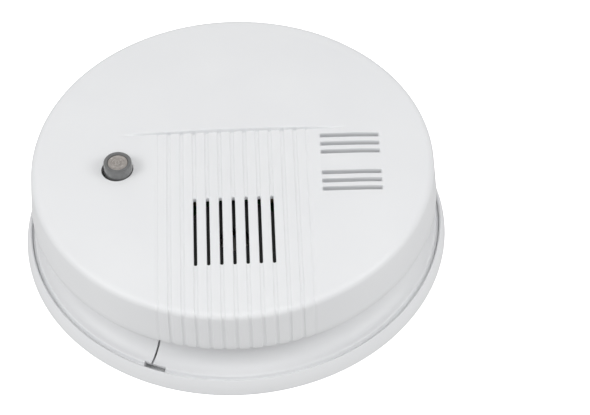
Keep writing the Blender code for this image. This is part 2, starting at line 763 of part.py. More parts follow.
def chamber():
    x, y = CHAMBER_PLACE
    low = BOARD_TOP + GAP
    insulator = [(CHAMBER_RADIUS + 1.2, low + 1.6), (CHAMBER_RADIUS + 1.2, low), (5.2, low), (5.2, low + 1.6)]
    turned("chamber_insulator", "insulator", insulator, 28, CHAMBER_PLACE, closed=True)
    bottom, top, wall = low + 1.9, 25.0, 0.6
    shell = [
        (0.0, top),
        (CHAMBER_RADIUS - 0.8, top),
        (CHAMBER_RADIUS, top - 0.8),
        (CHAMBER_RADIUS, bottom),
        (CHAMBER_RADIUS - wall, bottom),
        (CHAMBER_RADIUS - wall, top - 1.0),
        (CHAMBER_RADIUS - 1.0, top - wall),
        (0.0, top - wall),
    ]
    can = turned("chamber_can", "steel", shell, 28, CHAMBER_PLACE)
    for i in range(4):
        vent = boxes("can_vent", None, ((-15.0, -1.5, 17.5), (15.0, 1.5, 22.5)))
        vent.location = (x * MM, y * MM, 0.0)
        cut(can, turn_to(vent, 22.5 + 45 * i))
    rods("collector_plate", "steel", (x, y, 18.4, 18.8, 8.5), segments=24)
    rods("source_holder", "steel", (x, y, low, 16.0, 4.6), segments=20)
    rods("source_foil", "brass", (x, y, 16.3, 16.6, 1.6), segments=12)


def small_components():
    low = BOARD_TOP + GAP
    boxes("alarm_chip", "black_plastic", ((-10.0, -11.5, low), (10.0, -5.2, low + 3.4)))
    rods("storage_capacitor", "black_plastic", (-24.0, -18.0, low, low + 11.0, 3.2), segments=20)
    rods("filter_capacitor", "black_plastic", (-38.0, -14.0, low, low + 7.0, 2.5), segments=20)
    rods("horn_coil", "copper_wire", (22.5, -21.5, low, low + 8.5, 4.0), segments=20)
    for i, (x, y) in enumerate(RESISTORS):
        body = rods(f"resistor_{i + 1}", "resistor", (0.0, 0.0, -3.2, 3.2, 1.2), segments=12)
        body.rotation_euler.y = math.radians(90)
        body.location = Vector((x, y, low + 1.3)) * MM
    x, y = BUTTON_PLACE
    spacer = [(0.0, 23.0), (2.3, 23.0), (2.3, low + 0.8), (2.0, low), (0.0, low)]
    turned("led_spacer", "insulator", spacer, 20, BUTTON_PLACE)
    led = [(0.0, 31.9), (1.2, 31.6), (2.1, 30.7), (2.4, 29.5), (2.4, 23.3), (0.0, 23.3)]
    turned("status_led", "red_lens", led, 20, BUTTON_PLACE)
    x += LEG_OFFSET
    switch = boxes("switch_case", "black_plastic", ((x - 2.4, y - 3.0, low), (x + 3.4, y + 3.0, low + 3.4)))
    cut(switch, rods("switch_bore", None, (x, y, 12.0, 20.0, 1.5), segments=14))


# ---------------------------------------------------------------- battery and its contacts


def battery():
    low_x, high_x = BATTERY_X
    low_y, high_y = BATTERY_Y
    low_z, high_z = BATTERY_Z
    seam = high_x - BATTERY_CAP
    case = boxes("battery_case", "silver_jacket", ((low_x, low_y, low_z), (seam, high_y, high_z)))
    top = boxes("battery_end_cap", "black_plastic", ((seam + GAP, low_y, low_z), (high_x, high_y, high_z)))
    for obj in (case, top):
        bevel = obj.modifiers.new("Rounded", "BEVEL")
        bevel.width = 1.6 * MM
        bevel.segments = 2
        bevel.limit_method = "NONE"
    middle_z = (low_z + high_z) / 2
    middle_y = (low_y + high_y) / 2
    for name, side, radius, count in (("positive", 1, 2.9, 20), ("negative", -1, 3.7, 6)):
        y = middle_y + side * TERMINAL_SPACING / 2
        stud = rods(f"battery_terminal_{name}", "steel", (0.0, 0.0, 0.0, 2.2, radius), segments=count)
        stud.rotation_euler.y = math.radians(90)
        stud.location = Vector((high_x + GAP, y, middle_z)) * MM
        plate = boxes(f"contact_clip_{name}", "steel", ((CLIP_X[0], -4.4, -4.4), (CLIP_X[1], 4.4, 4.4)))
        plate.location = Vector((0.0, y, middle_z)) * MM
    block_x = (CLIP_X[1] + GAP, BAY_X - 0.4)
    block_end = (block_x[1], high_y - 0.2, 24.0)
    boxes("contact_block", "black_plastic", ((block_x[0], low_y + 0.2, 9.0), block_end))
    for name, finish, side in (("lead_red", "red_insulation", 1), ("lead_black", "black_plastic", -1)):
        start_y = middle_y + side * LEAD_SPREAD
        route = [
            (26.9, start_y, LEAD_HEIGHT),
            (28.9, start_y, LEAD_HEIGHT),
            (31.0, start_y, LEAD_HEIGHT + 0.2),
            (33.6, start_y - 4.0, 20.0),
            (34.4 + side, 15.0 + side, 19.0),
            (34.0 + side, 10.6, 17.0 + side),
            (30.0 + side, 8.1, 16.0 + side),
            (23.0, 7.2, 15.8 + side),
            (16.0 - side * 2.0, 5.6, 15.4 + side * 0.4),
            (16.0 - side * 2.0, 5.6, BOARD_TOP + GAP),
        ]
        wire(name, finish, smooth_path(route, 3), 0.65)


# ---------------------------------------------------------------- fasteners


def screws():
    """Pan-head screws, from the back into the cover and from the front into the board posts."""
    head = SCREW_HEAD_SEAT - GAP
    for i, angle in enumerate(COVER_SCREW_ANGLES):
        profile = [(0.0, 26.5), (1.35, 25.6), (1.35, head), (2.8, head)]
        profile += [(2.8, head - 1.5), (2.0, head - 2.1), (0.0, head - 2.1)]
        turned(f"cover_screw_{i + 1}", "steel", profile, 16, at_angle(COVER_SCREW_RADIUS, angle))
    for i, place in enumerate(BOARD_SCREWS):
        seat = BOARD_TOP + GAP
        profile = [(0.0, seat + 1.6), (1.8, seat + 1.6), (2.7, seat + 1.0), (2.7, seat), (1.2, seat)]
        profile += [(1.2, 8.0), (0.0, 7.2)]
        turned(f"board_screw_{i + 1}", "steel", profile, 16, place)


mounting_bracket()
back_housing()
front_cover()
battery_door()
tamper_tab()
test_button()
switch_plunger()
circuit_board()
horn()
chamber()
small_components()
battery()
screws()
SMOOTHING = smoothing_tree()
for part in PARTS.objects:
    part.modifiers.new("Smooth_by_angle", "NODES").node_group = SMOOTHING
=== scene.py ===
import json
import math

import bmesh
import bpy
from bpy.props import FloatProperty, IntProperty, PointerProperty
from mathutils import Matrix, Vector


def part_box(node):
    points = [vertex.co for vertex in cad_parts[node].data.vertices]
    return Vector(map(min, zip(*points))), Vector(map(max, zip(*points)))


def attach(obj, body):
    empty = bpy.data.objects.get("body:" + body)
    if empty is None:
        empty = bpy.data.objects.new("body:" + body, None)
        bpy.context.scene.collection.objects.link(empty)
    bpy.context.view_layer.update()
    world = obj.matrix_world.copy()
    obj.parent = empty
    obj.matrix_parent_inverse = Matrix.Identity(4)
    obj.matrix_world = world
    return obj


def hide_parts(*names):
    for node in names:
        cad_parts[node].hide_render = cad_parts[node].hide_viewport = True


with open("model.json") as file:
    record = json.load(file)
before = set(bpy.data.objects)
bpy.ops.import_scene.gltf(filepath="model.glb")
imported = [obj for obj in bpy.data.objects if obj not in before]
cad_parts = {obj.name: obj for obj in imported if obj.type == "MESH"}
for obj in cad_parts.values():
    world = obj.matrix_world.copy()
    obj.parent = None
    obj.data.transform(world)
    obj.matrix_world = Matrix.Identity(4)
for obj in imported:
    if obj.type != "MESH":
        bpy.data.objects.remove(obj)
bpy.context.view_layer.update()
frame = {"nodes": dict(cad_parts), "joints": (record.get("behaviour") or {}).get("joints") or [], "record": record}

bl_info = {
    "name": "Smoke Alarm Finishing",
    "version": (1, 0, 0),
    "blender": (4, 5, 0),
    "location": "View3D > Sidebar > Alarm",
    "description": "Builds the finished pieces of a round smoke alarm over its packed frame",
    "category": "Object",
}

MM = 0.001
MATH = "ShaderNodeMath"


def box_mm(name):
    """Lowest and highest corner of a CAD node, in millimetres."""
    low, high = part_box(name)
    return low / MM, high / MM


COVER_LOW, COVER_HIGH = box_mm("front_cover")
HOUSING_LOW = box_mm("back_housing")[0]
BRACKET_HIGH = box_mm("mounting_bracket")[1]
BUTTON_LOW, BUTTON_HIGH = box_mm("test_button")
DOOR_HIGH = box_mm("battery_door")[1]
LAMP_LOW, LAMP_HIGH = box_mm("status_led")
BUTTON_X = (LAMP_LOW.x + LAMP_HIGH.x) / 2
BUTTON_Y = (LAMP_LOW.y + LAMP_HIGH.y) / 2
DOOR_HINGE = next(joint["pos_m"] for joint in frame["joints"] if joint["name"] == "battery_door_swing")
DOOR_HINGE_Y, DOOR_HINGE_Z = DOOR_HINGE[1] / MM, DOOR_HINGE[2] / MM
HOOK_ANGLES = (45.0, 135.0, 225.0, 315.0)
POST_ANGLES = (90.0, 210.0, 330.0)
TAB_ANGLE = 246.2
ROUND = 256


def length(name, description, default):
    """A size in metres, given in millimetres."""
    values = {"name": name, "description": description, "default": default * MM, "precision": 5}
    return FloatProperty(**values, subtype="DISTANCE", unit="LENGTH")


def fall_rate(name, description, default):
    """How fast a curved face drops, per square millimetre."""
    return FloatProperty(name=name, description=description, default=default, precision=6)


# ---------------------------------------------------------------- settings


class CoverSizes(bpy.types.PropertyGroup):
    ribs: IntProperty(name="Ribs", description="Ribs in the band down the face", default=12, min=2)
    pitch: length("Rib pitch", "Distance from one rib to the next", 3.74)
    valley: length("Valley depth", "How far the valleys lie below the ribs", 0.4)
    slots: IntProperty(name="Slots", description="Through slots, one in each middle valley", default=7, min=1)
    slot_width: length("Slot width", "Width of each slot", 1.0)
    slot_front: length("Slot front end", "Y of the slots' ends nearest the rim", -40.7)
    slot_back: length("Slot back end", "Y of the slots' ends nearest the centre", -15.6)
    step: length("Step place", "Y of the step across the face", 10.5)
    crown_fall: fall_rate("Crown fall", "Drop of the dished face away from its centre", 0.000711)
    panel_top: length("Panel height", "Highest point of the lower front panel", 32.871)
    panel_fall_x: fall_rate("Panel fall across", "Drop of the front panel to its sides", 0.000235)
    panel_fall_y: fall_rate("Panel fall forward", "Drop of the front panel to the front", 0.000331)
    louvre_depth: length("Louvre depth", "Depth of the blind louvres at the right", 2.1)


class BodySizes(bpy.types.PropertyGroup):
    neck: length("Neck radius", "Radius of the waist under the cover", 53.8)
    foot: length("Foot radius", "Radius of the skirt's foot", 60.9)
    wall: length("Skirt wall", "Thickness of the skirt", 1.5)
    lip: length("Bracket lip radius", "Radius of the bracket's upper edge", 62.3)
    pocket: length("Bracket pocket radius", "Radius inside the bracket's rim", 61.5)
    ring_inner: length("Bracket ring radius", "Inner radius of the bracket's floor", 48.0)


class ButtonSizes(bpy.types.PropertyGroup):
    top: length("Button top radius", "Radius at the top of the test button", 4.15)
    base: length("Button base radius", "Radius where the test button meets the face", 4.25)
    hole: length("Button hole radius", "Radius of the hole in the cover", 4.7)
    hole_shift: length("Hole shift", "How far the hole's centre lies to the left of the button's", 0.3)


class StageSettings(bpy.types.PropertyGroup):
    drop: length("Floor drop", "How far the floor lies below the bracket", 60.0)


class AlarmSettings(bpy.types.PropertyGroup):
    cover: PointerProperty(type=CoverSizes)
    body: PointerProperty(type=BodySizes)
    button: PointerProperty(type=ButtonSizes)
    stage: PointerProperty(type=StageSettings)


# ---------------------------------------------------------------- materials


def linear(code):
    """An sRGB hex colour as linear red, green, blue and alpha."""
    found = []
    for i in (1, 3, 5):
        value = int(code[i : i + 2], 16) / 255
        found.append(value / 12.92 if value <= 0.04045 else ((value + 0.055) / 1.055) ** 2.4)
    return (*found, 1.0)


def node(tree, kind, inputs=None, **settings):
    """Adds a node with its settings. Inputs go by socket name or number: values, outputs, or nodes, which
    stand for their first output."""
    made = tree.nodes.new(kind)
    for name, value in settings.items():
        setattr(made, name, value)
    for key, value in (inputs or {}).items():
        if isinstance(value, bpy.types.Node):
            value = value.outputs[0]
        if isinstance(value, bpy.types.NodeSocket):
            tree.links.new(value, made.inputs[key])
        else:
            made.inputs[key].default_value = value
    return made


def new_material(name, values):
    """An empty material with a Principled BSDF holding the given socket values."""
    material = bpy.data.materials.new(name)
    material.use_nodes = True
    shader = material.node_tree.nodes["Principled BSDF"]
    for key, value in values.items():
        shader.inputs[key].default_value = value
    return material, material.node_tree, shader


def tinted(tree, shader, spot, dark, light, scale, detail):
    """Lets the base colour wander between two close shades at a pattern size in millimetres."""
    noise = node(tree, "ShaderNodeTexNoise", {"Vector": spot, "Scale": 1 / (scale * MM), "Detail": detail})
    shades = {0: noise, 6: linear(dark), 7: linear(light)}
    mix = node(tree, "ShaderNodeMix", shades, data_type="RGBA")
    tree.links.new(mix.outputs[2], shader.inputs["Base Color"])


def raised(tree, shader, pattern, strength, height):
    """A bump from a pattern, its height in millimetres."""
    relief = node(tree, "ShaderNodeBump", {"Strength": strength, "Distance": height * MM, "Height": pattern})
    tree.links.new(relief.outputs[0], shader.inputs["Normal"])


def grained(tree, shader, spot, scale, low, high, strength, height):
    """Fine grain: roughness between low and high, and a small bump."""
    grain = node(tree, "ShaderNodeTexNoise", {"Vector": spot, "Scale": 1 / (scale * MM), "Detail": 4.0})
    rough = node(tree, "ShaderNodeMapRange", {0: grain, 3: low, 4: high})
    tree.links.new(rough.outputs[0], shader.inputs["Roughness"])
    raised(tree, shader, grain, strength, height)


def banded(tree, shader, spot, direction, scale, distortion, strength, height):
    """Soft raised bands along X or Z."""
    values = {"Vector": spot, "Scale": 1 / (scale * MM) / 20, "Distortion": distortion}
    wave = node(tree, "ShaderNodeTexWave", values, bands_direction=direction)
    raised(tree, shader, wave.outputs[1], strength, height)


# Painted shade on the louvre floors: its grey, and the box it is painted in (centre and reach in x, y and depth,
# mm)
PAINTED_LOUVRE_SHADE = "#CBCCCE"
PAINTED_SHADE_ZONE = ((34.9, 8.9), (-3.5, 11.4), (1.2, 1.0))


def paint_louvre_shade(tree, shader, spot):
    """Painted shade: greys the floors of the blind louvres, deeper than a quarter millimetre below the crown,
    standing in for the shade that falls inside them.
    """
    x, y, z = node(tree, "ShaderNodeSeparateXYZ", {0: spot}).outputs
    square = node(tree, MATH, {0: x, 1: x}, operation="MULTIPLY")
    square = node(tree, MATH, {0: y, 1: y, 2: square}, operation="MULTIPLY_ADD")
    fall = bpy.context.scene.alarm.cover.crown_fall / MM
    crown = {0: square, 1: -fall, 2: COVER_HIGH.z * MM}
    crown = node(tree, MATH, crown, operation="MULTIPLY_ADD")
    depth = node(tree, MATH, {0: crown, 1: z}, operation="SUBTRACT")
    ramp = {0: depth, 1: 0.25 * MM, 2: 1.1 * MM, 3: 0.0, 4: 1.0}
    amount = node(tree, "ShaderNodeMapRange", ramp, interpolation_type="SMOOTHSTEP")
    for value, (middle, reach) in zip((x, y, depth), PAINTED_SHADE_ZONE):
        zone = {0: value, 1: middle * MM, 2: reach * MM}
        near = node(tree, MATH, zone, operation="COMPARE")
        amount = node(tree, MATH, {0: amount, 1: near}, operation="MULTIPLY")
    # Mixes the painted shade over the plain colour wherever the mask is on
    plain = shader.inputs["Base Color"].links[0].from_socket
    mix = node(tree, "ShaderNodeMix", {0: amount, 6: plain, 7: linear(PAINTED_LOUVRE_SHADE)}, data_type="RGBA")
    tree.links.new(mix.outputs[2], shader.inputs["Base Color"])


# Each finish: the material's name, its fixed values, what draws its colour and what draws its surface.
# Colour: dark shade, light shade, patch size in mm, detail.
# Grain: size in mm, lowest and highest roughness, bump strength, bump height in mm.
# Bands: direction, scale in mm, distortion, bump strength, bump height in mm.
MATERIALS = {
    # Injection-moulded white ABS: satin, with a fine spark-eroded grain that softens its highlights.
    # The real grain is about 0.05 mm; it is drawn at 0.35 mm so that it shows at all.
    "white_plastic": (
        "moulded_white_abs",
        {"IOR": 1.53, "Specular IOR Level": 0.45},
        ("#E5E6E8", "#EBECED", 24.0, 2.0),
        (grained, 0.35, 0.38, 0.50, 0.10, 0.02),
    ),
    # Smoked clear polycarbonate: dark, glossy, lets a little light through.
    "smoked_clear_plastic": (
        "smoked_polycarbonate",
        {"IOR": 1.58, "Transmission Weight": 0.15, "Coat Weight": 1.0, "Coat Roughness": 0.05},
        ("#5C5D5E", "#7E7F7F", 2.0, 3.0),
        (grained, 0.6, 0.08, 0.16, 0.05, 0.01),
    ),
    # Clear window over the lamp: warm grey, moulded in rings that scatter the light.
    "lens_window": (
        "clear_lens_window",
        {"IOR": 1.58, "Transmission Weight": 0.1, "Coat Weight": 0.4},
        ("#8E8985", "#B9B2AC", 1.4, 3.0),
        (grained, 0.5, 0.14, 0.3, 0.2, 0.03),
    ),
    # Moulded black ABS: matte, slightly grey where light grazes it.
    "black_plastic": (
        "moulded_black_abs",
        {"IOR": 1.53},
        ("#0C0C0D", "#141415", 8.0, 3.0),
        (grained, 0.4, 0.45, 0.62, 0.15, 0.02),
    ),
    # Green solder mask over glass laminate: a gloss film with slow waves in it.
    "board": (
        "green_solder_mask",
        {"IOR": 1.5, "Coat Weight": 0.4, "Coat Roughness": 0.15, "Roughness": 0.35},
        ("#1E5A2C", "#2A6B38", 5.0, 3.0),
        (banded, "X", 1.2, 1.0, 0.15, 0.02),
    ),
    # Tinned steel sheet and plated screws: bright, with faint patches.
    "steel": (
        "tinned_steel",
        {"Metallic": 1.0},
        ("#B4B4B2", "#CFCFCC", 4.0, 3.0),
        (grained, 0.7, 0.22, 0.36, 0.08, 0.01),
    ),
    # Rolled brass disc: warm metal with light tarnish in patches.
    "brass": (
        "rolled_brass",
        {"Metallic": 1.0},
        ("#B08D4A", "#D6B56C", 5.0, 3.0),
        (grained, 0.8, 0.24, 0.42, 0.08, 0.01),
    ),
    # Fired piezo ceramic: chalky and matte.
    "ceramic": (
        "fired_ceramic",
        {"IOR": 1.6},
        ("#D4D0C4", "#E2DED4", 3.0, 3.0),
        (grained, 0.3, 0.6, 0.8, 0.2, 0.02),
    ),
    # Natural nylon insulator: waxy off-white.
    "insulator": (
        "natural_nylon",
        {"IOR": 1.53},
        ("#E2E0D2", "#ECEADF", 6.0, 3.0),
        (grained, 0.5, 0.42, 0.55, 0.1, 0.02),
    ),
    # Red epoxy lamp lens: glassy and deeply tinted.
    "red_lens": (
        "red_epoxy_lens",
        {"IOR": 1.55, "Transmission Weight": 0.4, "Coat Weight": 0.5},
        ("#B01414", "#D02020", 2.0, 3.0),
        (grained, 1.0, 0.06, 0.12, 0.02, 0.01),
    ),
    # PVC wire insulation: soft gloss.
    "red_insulation": (
        "red_wire_insulation",
        {"IOR": 1.53},
        ("#A01218", "#B8181E", 6.0, 3.0),
        (grained, 0.6, 0.34, 0.48, 0.06, 0.01),
    ),
    # Tan resistor lacquer: soft gloss.
    "resistor": (
        "resistor_lacquer",
        {"IOR": 1.5, "Coat Weight": 0.3},
        ("#BFA578", "#CDB58A", 2.0, 3.0),
        (grained, 0.6, 0.3, 0.45, 0.05, 0.01),
    ),
    # Enamelled copper winding: warm sheen, with soft bands over its turned ridges.
    "copper_wire": (
        "enamelled_copper",
        {"Metallic": 0.9, "Roughness": 0.35},
        ("#8E4A24", "#B8683A", 3.0, 3.0),
        (banded, "Z", 0.6, 0.0, 0.5, 0.1),
    ),
    # Shrink film over the battery's steel case: metallic grey with slight ripples.
    "silver_jacket": (
        "battery_film",
        {"Metallic": 0.75, "Coat Weight": 0.3, "Coat Roughness": 0.15},
        ("#9C9DA0", "#B6B7BA", 12.0, 3.0),
        (grained, 5.0, 0.26, 0.38, 0.1, 0.05),
    ),
}
MADE = {}


def finish(kind):
    """The material for a finish, made once."""
    if kind not in MADE:
        name, values, shades, (draw, *texture) = MATERIALS[kind]
        material, tree, shader = new_material(name, values)
        spot = node(tree, "ShaderNodeTexCoord").outputs["Object"]
        tinted(tree, shader, spot, *shades)
        draw(tree, shader, spot, *texture)
        # White plastic gets painted shade on its louvre floors
        if kind == "white_plastic":
            paint_louvre_shade(tree, shader, spot)
        MADE[kind] = material
    return MADE[kind]


# ---------------------------------------------------------------- shape helpers


def new_object(name, mesh):
    obj = bpy.data.objects.new(name, mesh)
    bpy.context.scene.collection.objects.link(obj)
    return obj


def drop(obj):
    bpy.data.objects.remove(obj, do_unlink=True)


def mesh_object(name, build):
    """An object whose mesh is filled by build(bmesh), in metres."""
    mesh = bpy.data.meshes.new(name)
    work = bmesh.new()
    build(work)
    work.to_mesh(mesh)
    work.free()
    return new_object(name, mesh)


def rounded(points, radius, steps=4):
    """A polyline of (r, z) points with every inner corner rounded."""
    points = [Vector(p) for p in points]
    found = [points[0]]
    for before, corner, after in zip(points, points[1:], points[2:]):
        room = min(radius, (before - corner).length * 0.45, (after - corner).length * 0.45)
        a = corner + (before - corner).normalized() * room
        b = corner + (after - corner).normalized() * room
        for i in range(steps + 1):
            t = i / steps
            found.append((1 - t) ** 2 * a + 2 * t * (1 - t) * corner + t * t * b)
    found.append(points[-1])
    return [tuple(p) for p in found]


def turned(name, profile, segments=ROUND, place=(0.0, 0.0), closed=False):
    """(radius, height) points in millimetres turned round the upright axis; a point on the axis is a pole."""

    def build(work):
        rings = []
        for r, z in profile:
            if r < 1e-6:
                rings.append([work.verts.new((place[0] * MM, place[1] * MM, z * MM))])
                continue
            ring = []
            for i in range(segments):
                angle = 2 * math.pi * i / segments
                x, y = place[0] + r * math.cos(angle), place[1] + r * math.sin(angle)
                ring.append(work.verts.new((x * MM, y * MM, z * MM)))
            rings.append(ring)
        pairs = list(zip(rings, rings[1:]))
        if closed:
            pairs.append((rings[-1], rings[0]))
        for upper, lower in pairs:
            for i in range(segments):
                k = (i + 1) % segments
                corners = [(upper, i), (lower, i), (lower, k), (upper, k)]
                work.faces.new(list(dict.fromkeys(ring[at % len(ring)] for ring, at in corners)))
        bmesh.ops.recalc_face_normals(work, faces=work.faces)

    return mesh_object(name, build)


def block(name, low, high, edge=0.0, steps=2):
    """A box between two corners in millimetres, its edges rounded."""

    def build(work):
        a, b = Vector(low) * MM, Vector(high) * MM
        bmesh.ops.create_cube(work, matrix=Matrix.Translation((a + b) / 2) @ Matrix.Diagonal(b - a).to_4x4())
        if edge:
            edges = list(work.edges)
            bmesh.ops.bevel(work, geom=edges, offset=edge * MM, segments=steps, profile=0.5, affect="EDGES")

    return mesh_object(name, build)


def rod(name, place, bottom, top, radius, edge=0.0, segments=48):
    """An upright round bar, in millimetres, its end edges rounded."""
    profile = [(0.0, top), (radius, top), (radius, bottom), (0.0, bottom)]
    if edge:
        profile = rounded(profile, edge, 3)
    return turned(name, profile, segments, place)


def place_mesh(obj, matrix):
    """Puts a turn or move into the mesh itself."""
    obj.data.transform(matrix)
    return obj


def turn_mesh(obj, degrees):
    return place_mesh(obj, Matrix.Rotation(math.radians(degrees), 4, "Z"))


def move_mesh(obj, x, y):
    return place_mesh(obj, Matrix.Translation(Vector((x, y, 0)) * MM))


def lay_mesh(obj, place):
    """Lays an upright mesh along X, its foot at a place in millimetres."""
    return place_mesh(obj, Matrix.Translation(Vector(place) * MM) @ Matrix.Rotation(math.radians(90), 4, "Y"))


def combine(obj, other, operation):
    """Joins or cuts with another object, which is then dropped."""
    modifier = obj.modifiers.new(operation, "BOOLEAN")
    modifier.operation = operation
    modifier.solver = "EXACT"
    modifier.object = other
    apply_modifiers(obj)
    drop(other)
    return obj


def apply_modifiers(obj):
    bpy.context.view_layer.update()
    mesh = bpy.data.meshes.new_from_object(obj.evaluated_get(bpy.context.evaluated_depsgraph_get()))
    old = obj.data
    obj.modifiers.clear()
    obj.data = mesh
    bpy.data.meshes.remove(old)
    return obj


def cut(obj, other):
    return combine(obj, other, "DIFFERENCE")


def join(obj, other):
    return combine(obj, other, "UNION")


def done(obj, body, slot_name, replaced, material=None, sharp=32):
    """Smooths and finishes a piece, hangs it under its body's empty, and hides the frame pieces it replaces."""
    obj.data.materials.clear()
    obj.data.materials.append(material or finish(slot_name))
    obj.data.polygons.foreach_set("material_index", [0] * len(obj.data.polygons))
    obj.data.polygons.foreach_set("use_smooth", [True] * len(obj.data.polygons))
    obj.data.set_sharp_from_angle(angle=math.radians(sharp))
    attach(obj, body)
    if replaced:
        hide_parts(*replaced)
    return obj


def at_angle(radius, degrees):
    return radius * math.cos(math.radians(degrees)), radius * math.sin(math.radians(degrees))


def mm(value):
    return value / MM


def ease(low, high, value):
    """0 below low, 1 above high, smooth between."""
    t = max(0.0, min(1.0, (value - low) / (high - low)))
    return t * t * (3 - 2 * t)


def input_sockets(tree, kinds):
    """Adds a tree's named inputs; gives their identifiers by name."""
    add = tree.interface.new_socket
    return {name: add(name, in_out="INPUT", socket_type=kind).identifier for name, kind in kinds.items()}


def run_tree(obj, tree, values):
    """Runs a Geometry Nodes tree on an object and keeps the plain mesh it gives."""
    modifier = obj.modifiers.new(tree.name, "NODES")
    modifier.node_group = tree
    for identifier, value in values.items():
        modifier[identifier] = value
    return apply_modifiers(obj)


# ---------------------------------------------------------------- cover

WALL_DRAFT = 0.9
CORNER = 2.2
CORNER_HEIGHT = 29.05
SHELL = 2.0
FACE_RINGS = 34
WALL_RINGS = 6
INSIDE_RADIUS = 56.6
INSIDE_HEIGHT = 31.0
PANEL_CENTRE_Y = 12.0
PANEL_BLEND = 0.03
STEP_FILLET = 0.12
STEP_REACH = 44
SEAM_WIDTH = 0.3
SEAM_DEPTH = 0.7
SEAM_OFFSET = 0.34
LOUVRE_ROWS = (7.0, 3.7, 0.5, -7.7, -10.9, -14.0)
LOUVRE_ENDS = (26.0, 43.8)
LOUVRE_WIDTH = 1.64
LOUVRE_BACK = 0.16
LOUVRE_FRONT = 0.14
LOUVRE_ROUND = 0.7
RIB_LINES = (-0.35, -0.205, -0.185, -0.15, -0.12, 0.0, 0.12, 0.15, 0.185, 0.205, 0.35, 0.5)
LOUVRE_LINES = (0.0, 0.04, 0.08, 0.12, 0.16, 0.4, 0.7, 0.86, 0.9, 0.93, 0.96, 1.0)
LOUVRE_END_LINES = (0.0, 0.12, 0.24, 0.36, 0.5, 0.7)


def face_height(sizes, x, y):
    """Height of the face without its ribs: dished crown, lower panel in front of the step, louvres."""
    crown = COVER_HIGH.z - sizes.crown_fall * (x * x + y * y)
    panel = mm(sizes.panel_top) - sizes.panel_fall_x * x * x - sizes.panel_fall_y * (y - PANEL_CENTRE_Y) ** 2
    gap = math.sqrt((crown - panel) ** 2 + PANEL_BLEND**2)
    lower = min(0.5 * (crown + panel - gap) + PANEL_BLEND * 0.25, crown)
    step = mm(sizes.step)
    height = lower + (crown - lower) * ease(step - STEP_FILLET, step + STEP_FILLET, y)
    seam = 1 - min(1.0, abs(y - step + SEAM_OFFSET) / SEAM_WIDTH)
    height -= SEAM_DEPTH * ease(0, 0.8, seam) * ease(0.02, 0.3, crown - lower)
    for row in LOUVRE_ROWS:
        across = (row + LOUVRE_WIDTH / 2 - y) / LOUVRE_WIDTH
        if 0 < across < 1 and LOUVRE_ENDS[0] < x < LOUVRE_ENDS[1]:
            end = min(x - LOUVRE_ENDS[0], LOUVRE_ENDS[1] - x)
            depth = mm(sizes.louvre_depth) * ease(0, LOUVRE_BACK, across) * ease(0, LOUVRE_FRONT, 1 - across)
            height -= depth * ease(0, LOUVRE_ROUND, end)
    return height


def cover_profile(sizes):
    """Outer surface from the centre to the wall's foot, and the inner surface back to the centre."""
    foot, low = COVER_HIGH.x, COVER_LOW.z
    centre = (foot - WALL_DRAFT - CORNER, CORNER_HEIGHT)
    fall = sizes.crown_fall
    slope = math.atan(2 * fall * centre[0])
    edge = []
    for i in range(9):
        angle = math.pi / 2 - slope + (0.05 - math.pi / 2 + slope) * i / 8
        edge.append((centre[0] + CORNER * math.cos(angle), centre[1] + CORNER * math.sin(angle)))
    radii = [edge[0][0] * i / FACE_RINGS for i in range(FACE_RINGS)]
    face = [(radius, COVER_HIGH.z - fall * radius**2) for radius in radii]
    top, bottom = Vector(edge[-1]), Vector((foot, low + 0.5))
    wall = [tuple(top.lerp(bottom, i / WALL_RINGS)) for i in range(1, WALL_RINGS + 1)]
    outer = [*face, *edge, *wall, (foot - 0.1, low + 0.15), (foot - 0.4, low)]
    inside = foot - SHELL
    inner = [(inside + 0.2, low), (inside, low + 0.3), (inside - 0.6, 27.2), (INSIDE_RADIUS, 28.7)]
    radii = [INSIDE_RADIUS * i / 6 for i in range(5, -1, -1)]
    inner += [(radius, INSIDE_HEIGHT - fall * radius**2) for radius in radii]
    return outer, inner


def slice_faces(work, across, value, inside):
    """Adds a line of edges where x (0) or y (1) has a value, on faces whose middle is inside a region."""
    normal = Vector((0, 0, 0))
    normal[across] = 1.0
    spot = normal * value * MM
    picked = []
    for face in work.faces:
        along = [vert.co[across] for vert in face.verts]
        if min(along) < spot[across] < max(along) and inside(face.calc_center_median() / MM):
            picked.append(face)
    edges = {edge for face in picked for edge in face.edges}
    verts = {vert for face in picked for vert in face.verts}
    bmesh.ops.bisect_plane(
        work, geom=[*picked, *edges, *verts], dist=0.005 * MM, plane_co=spot, plane_no=normal
    )


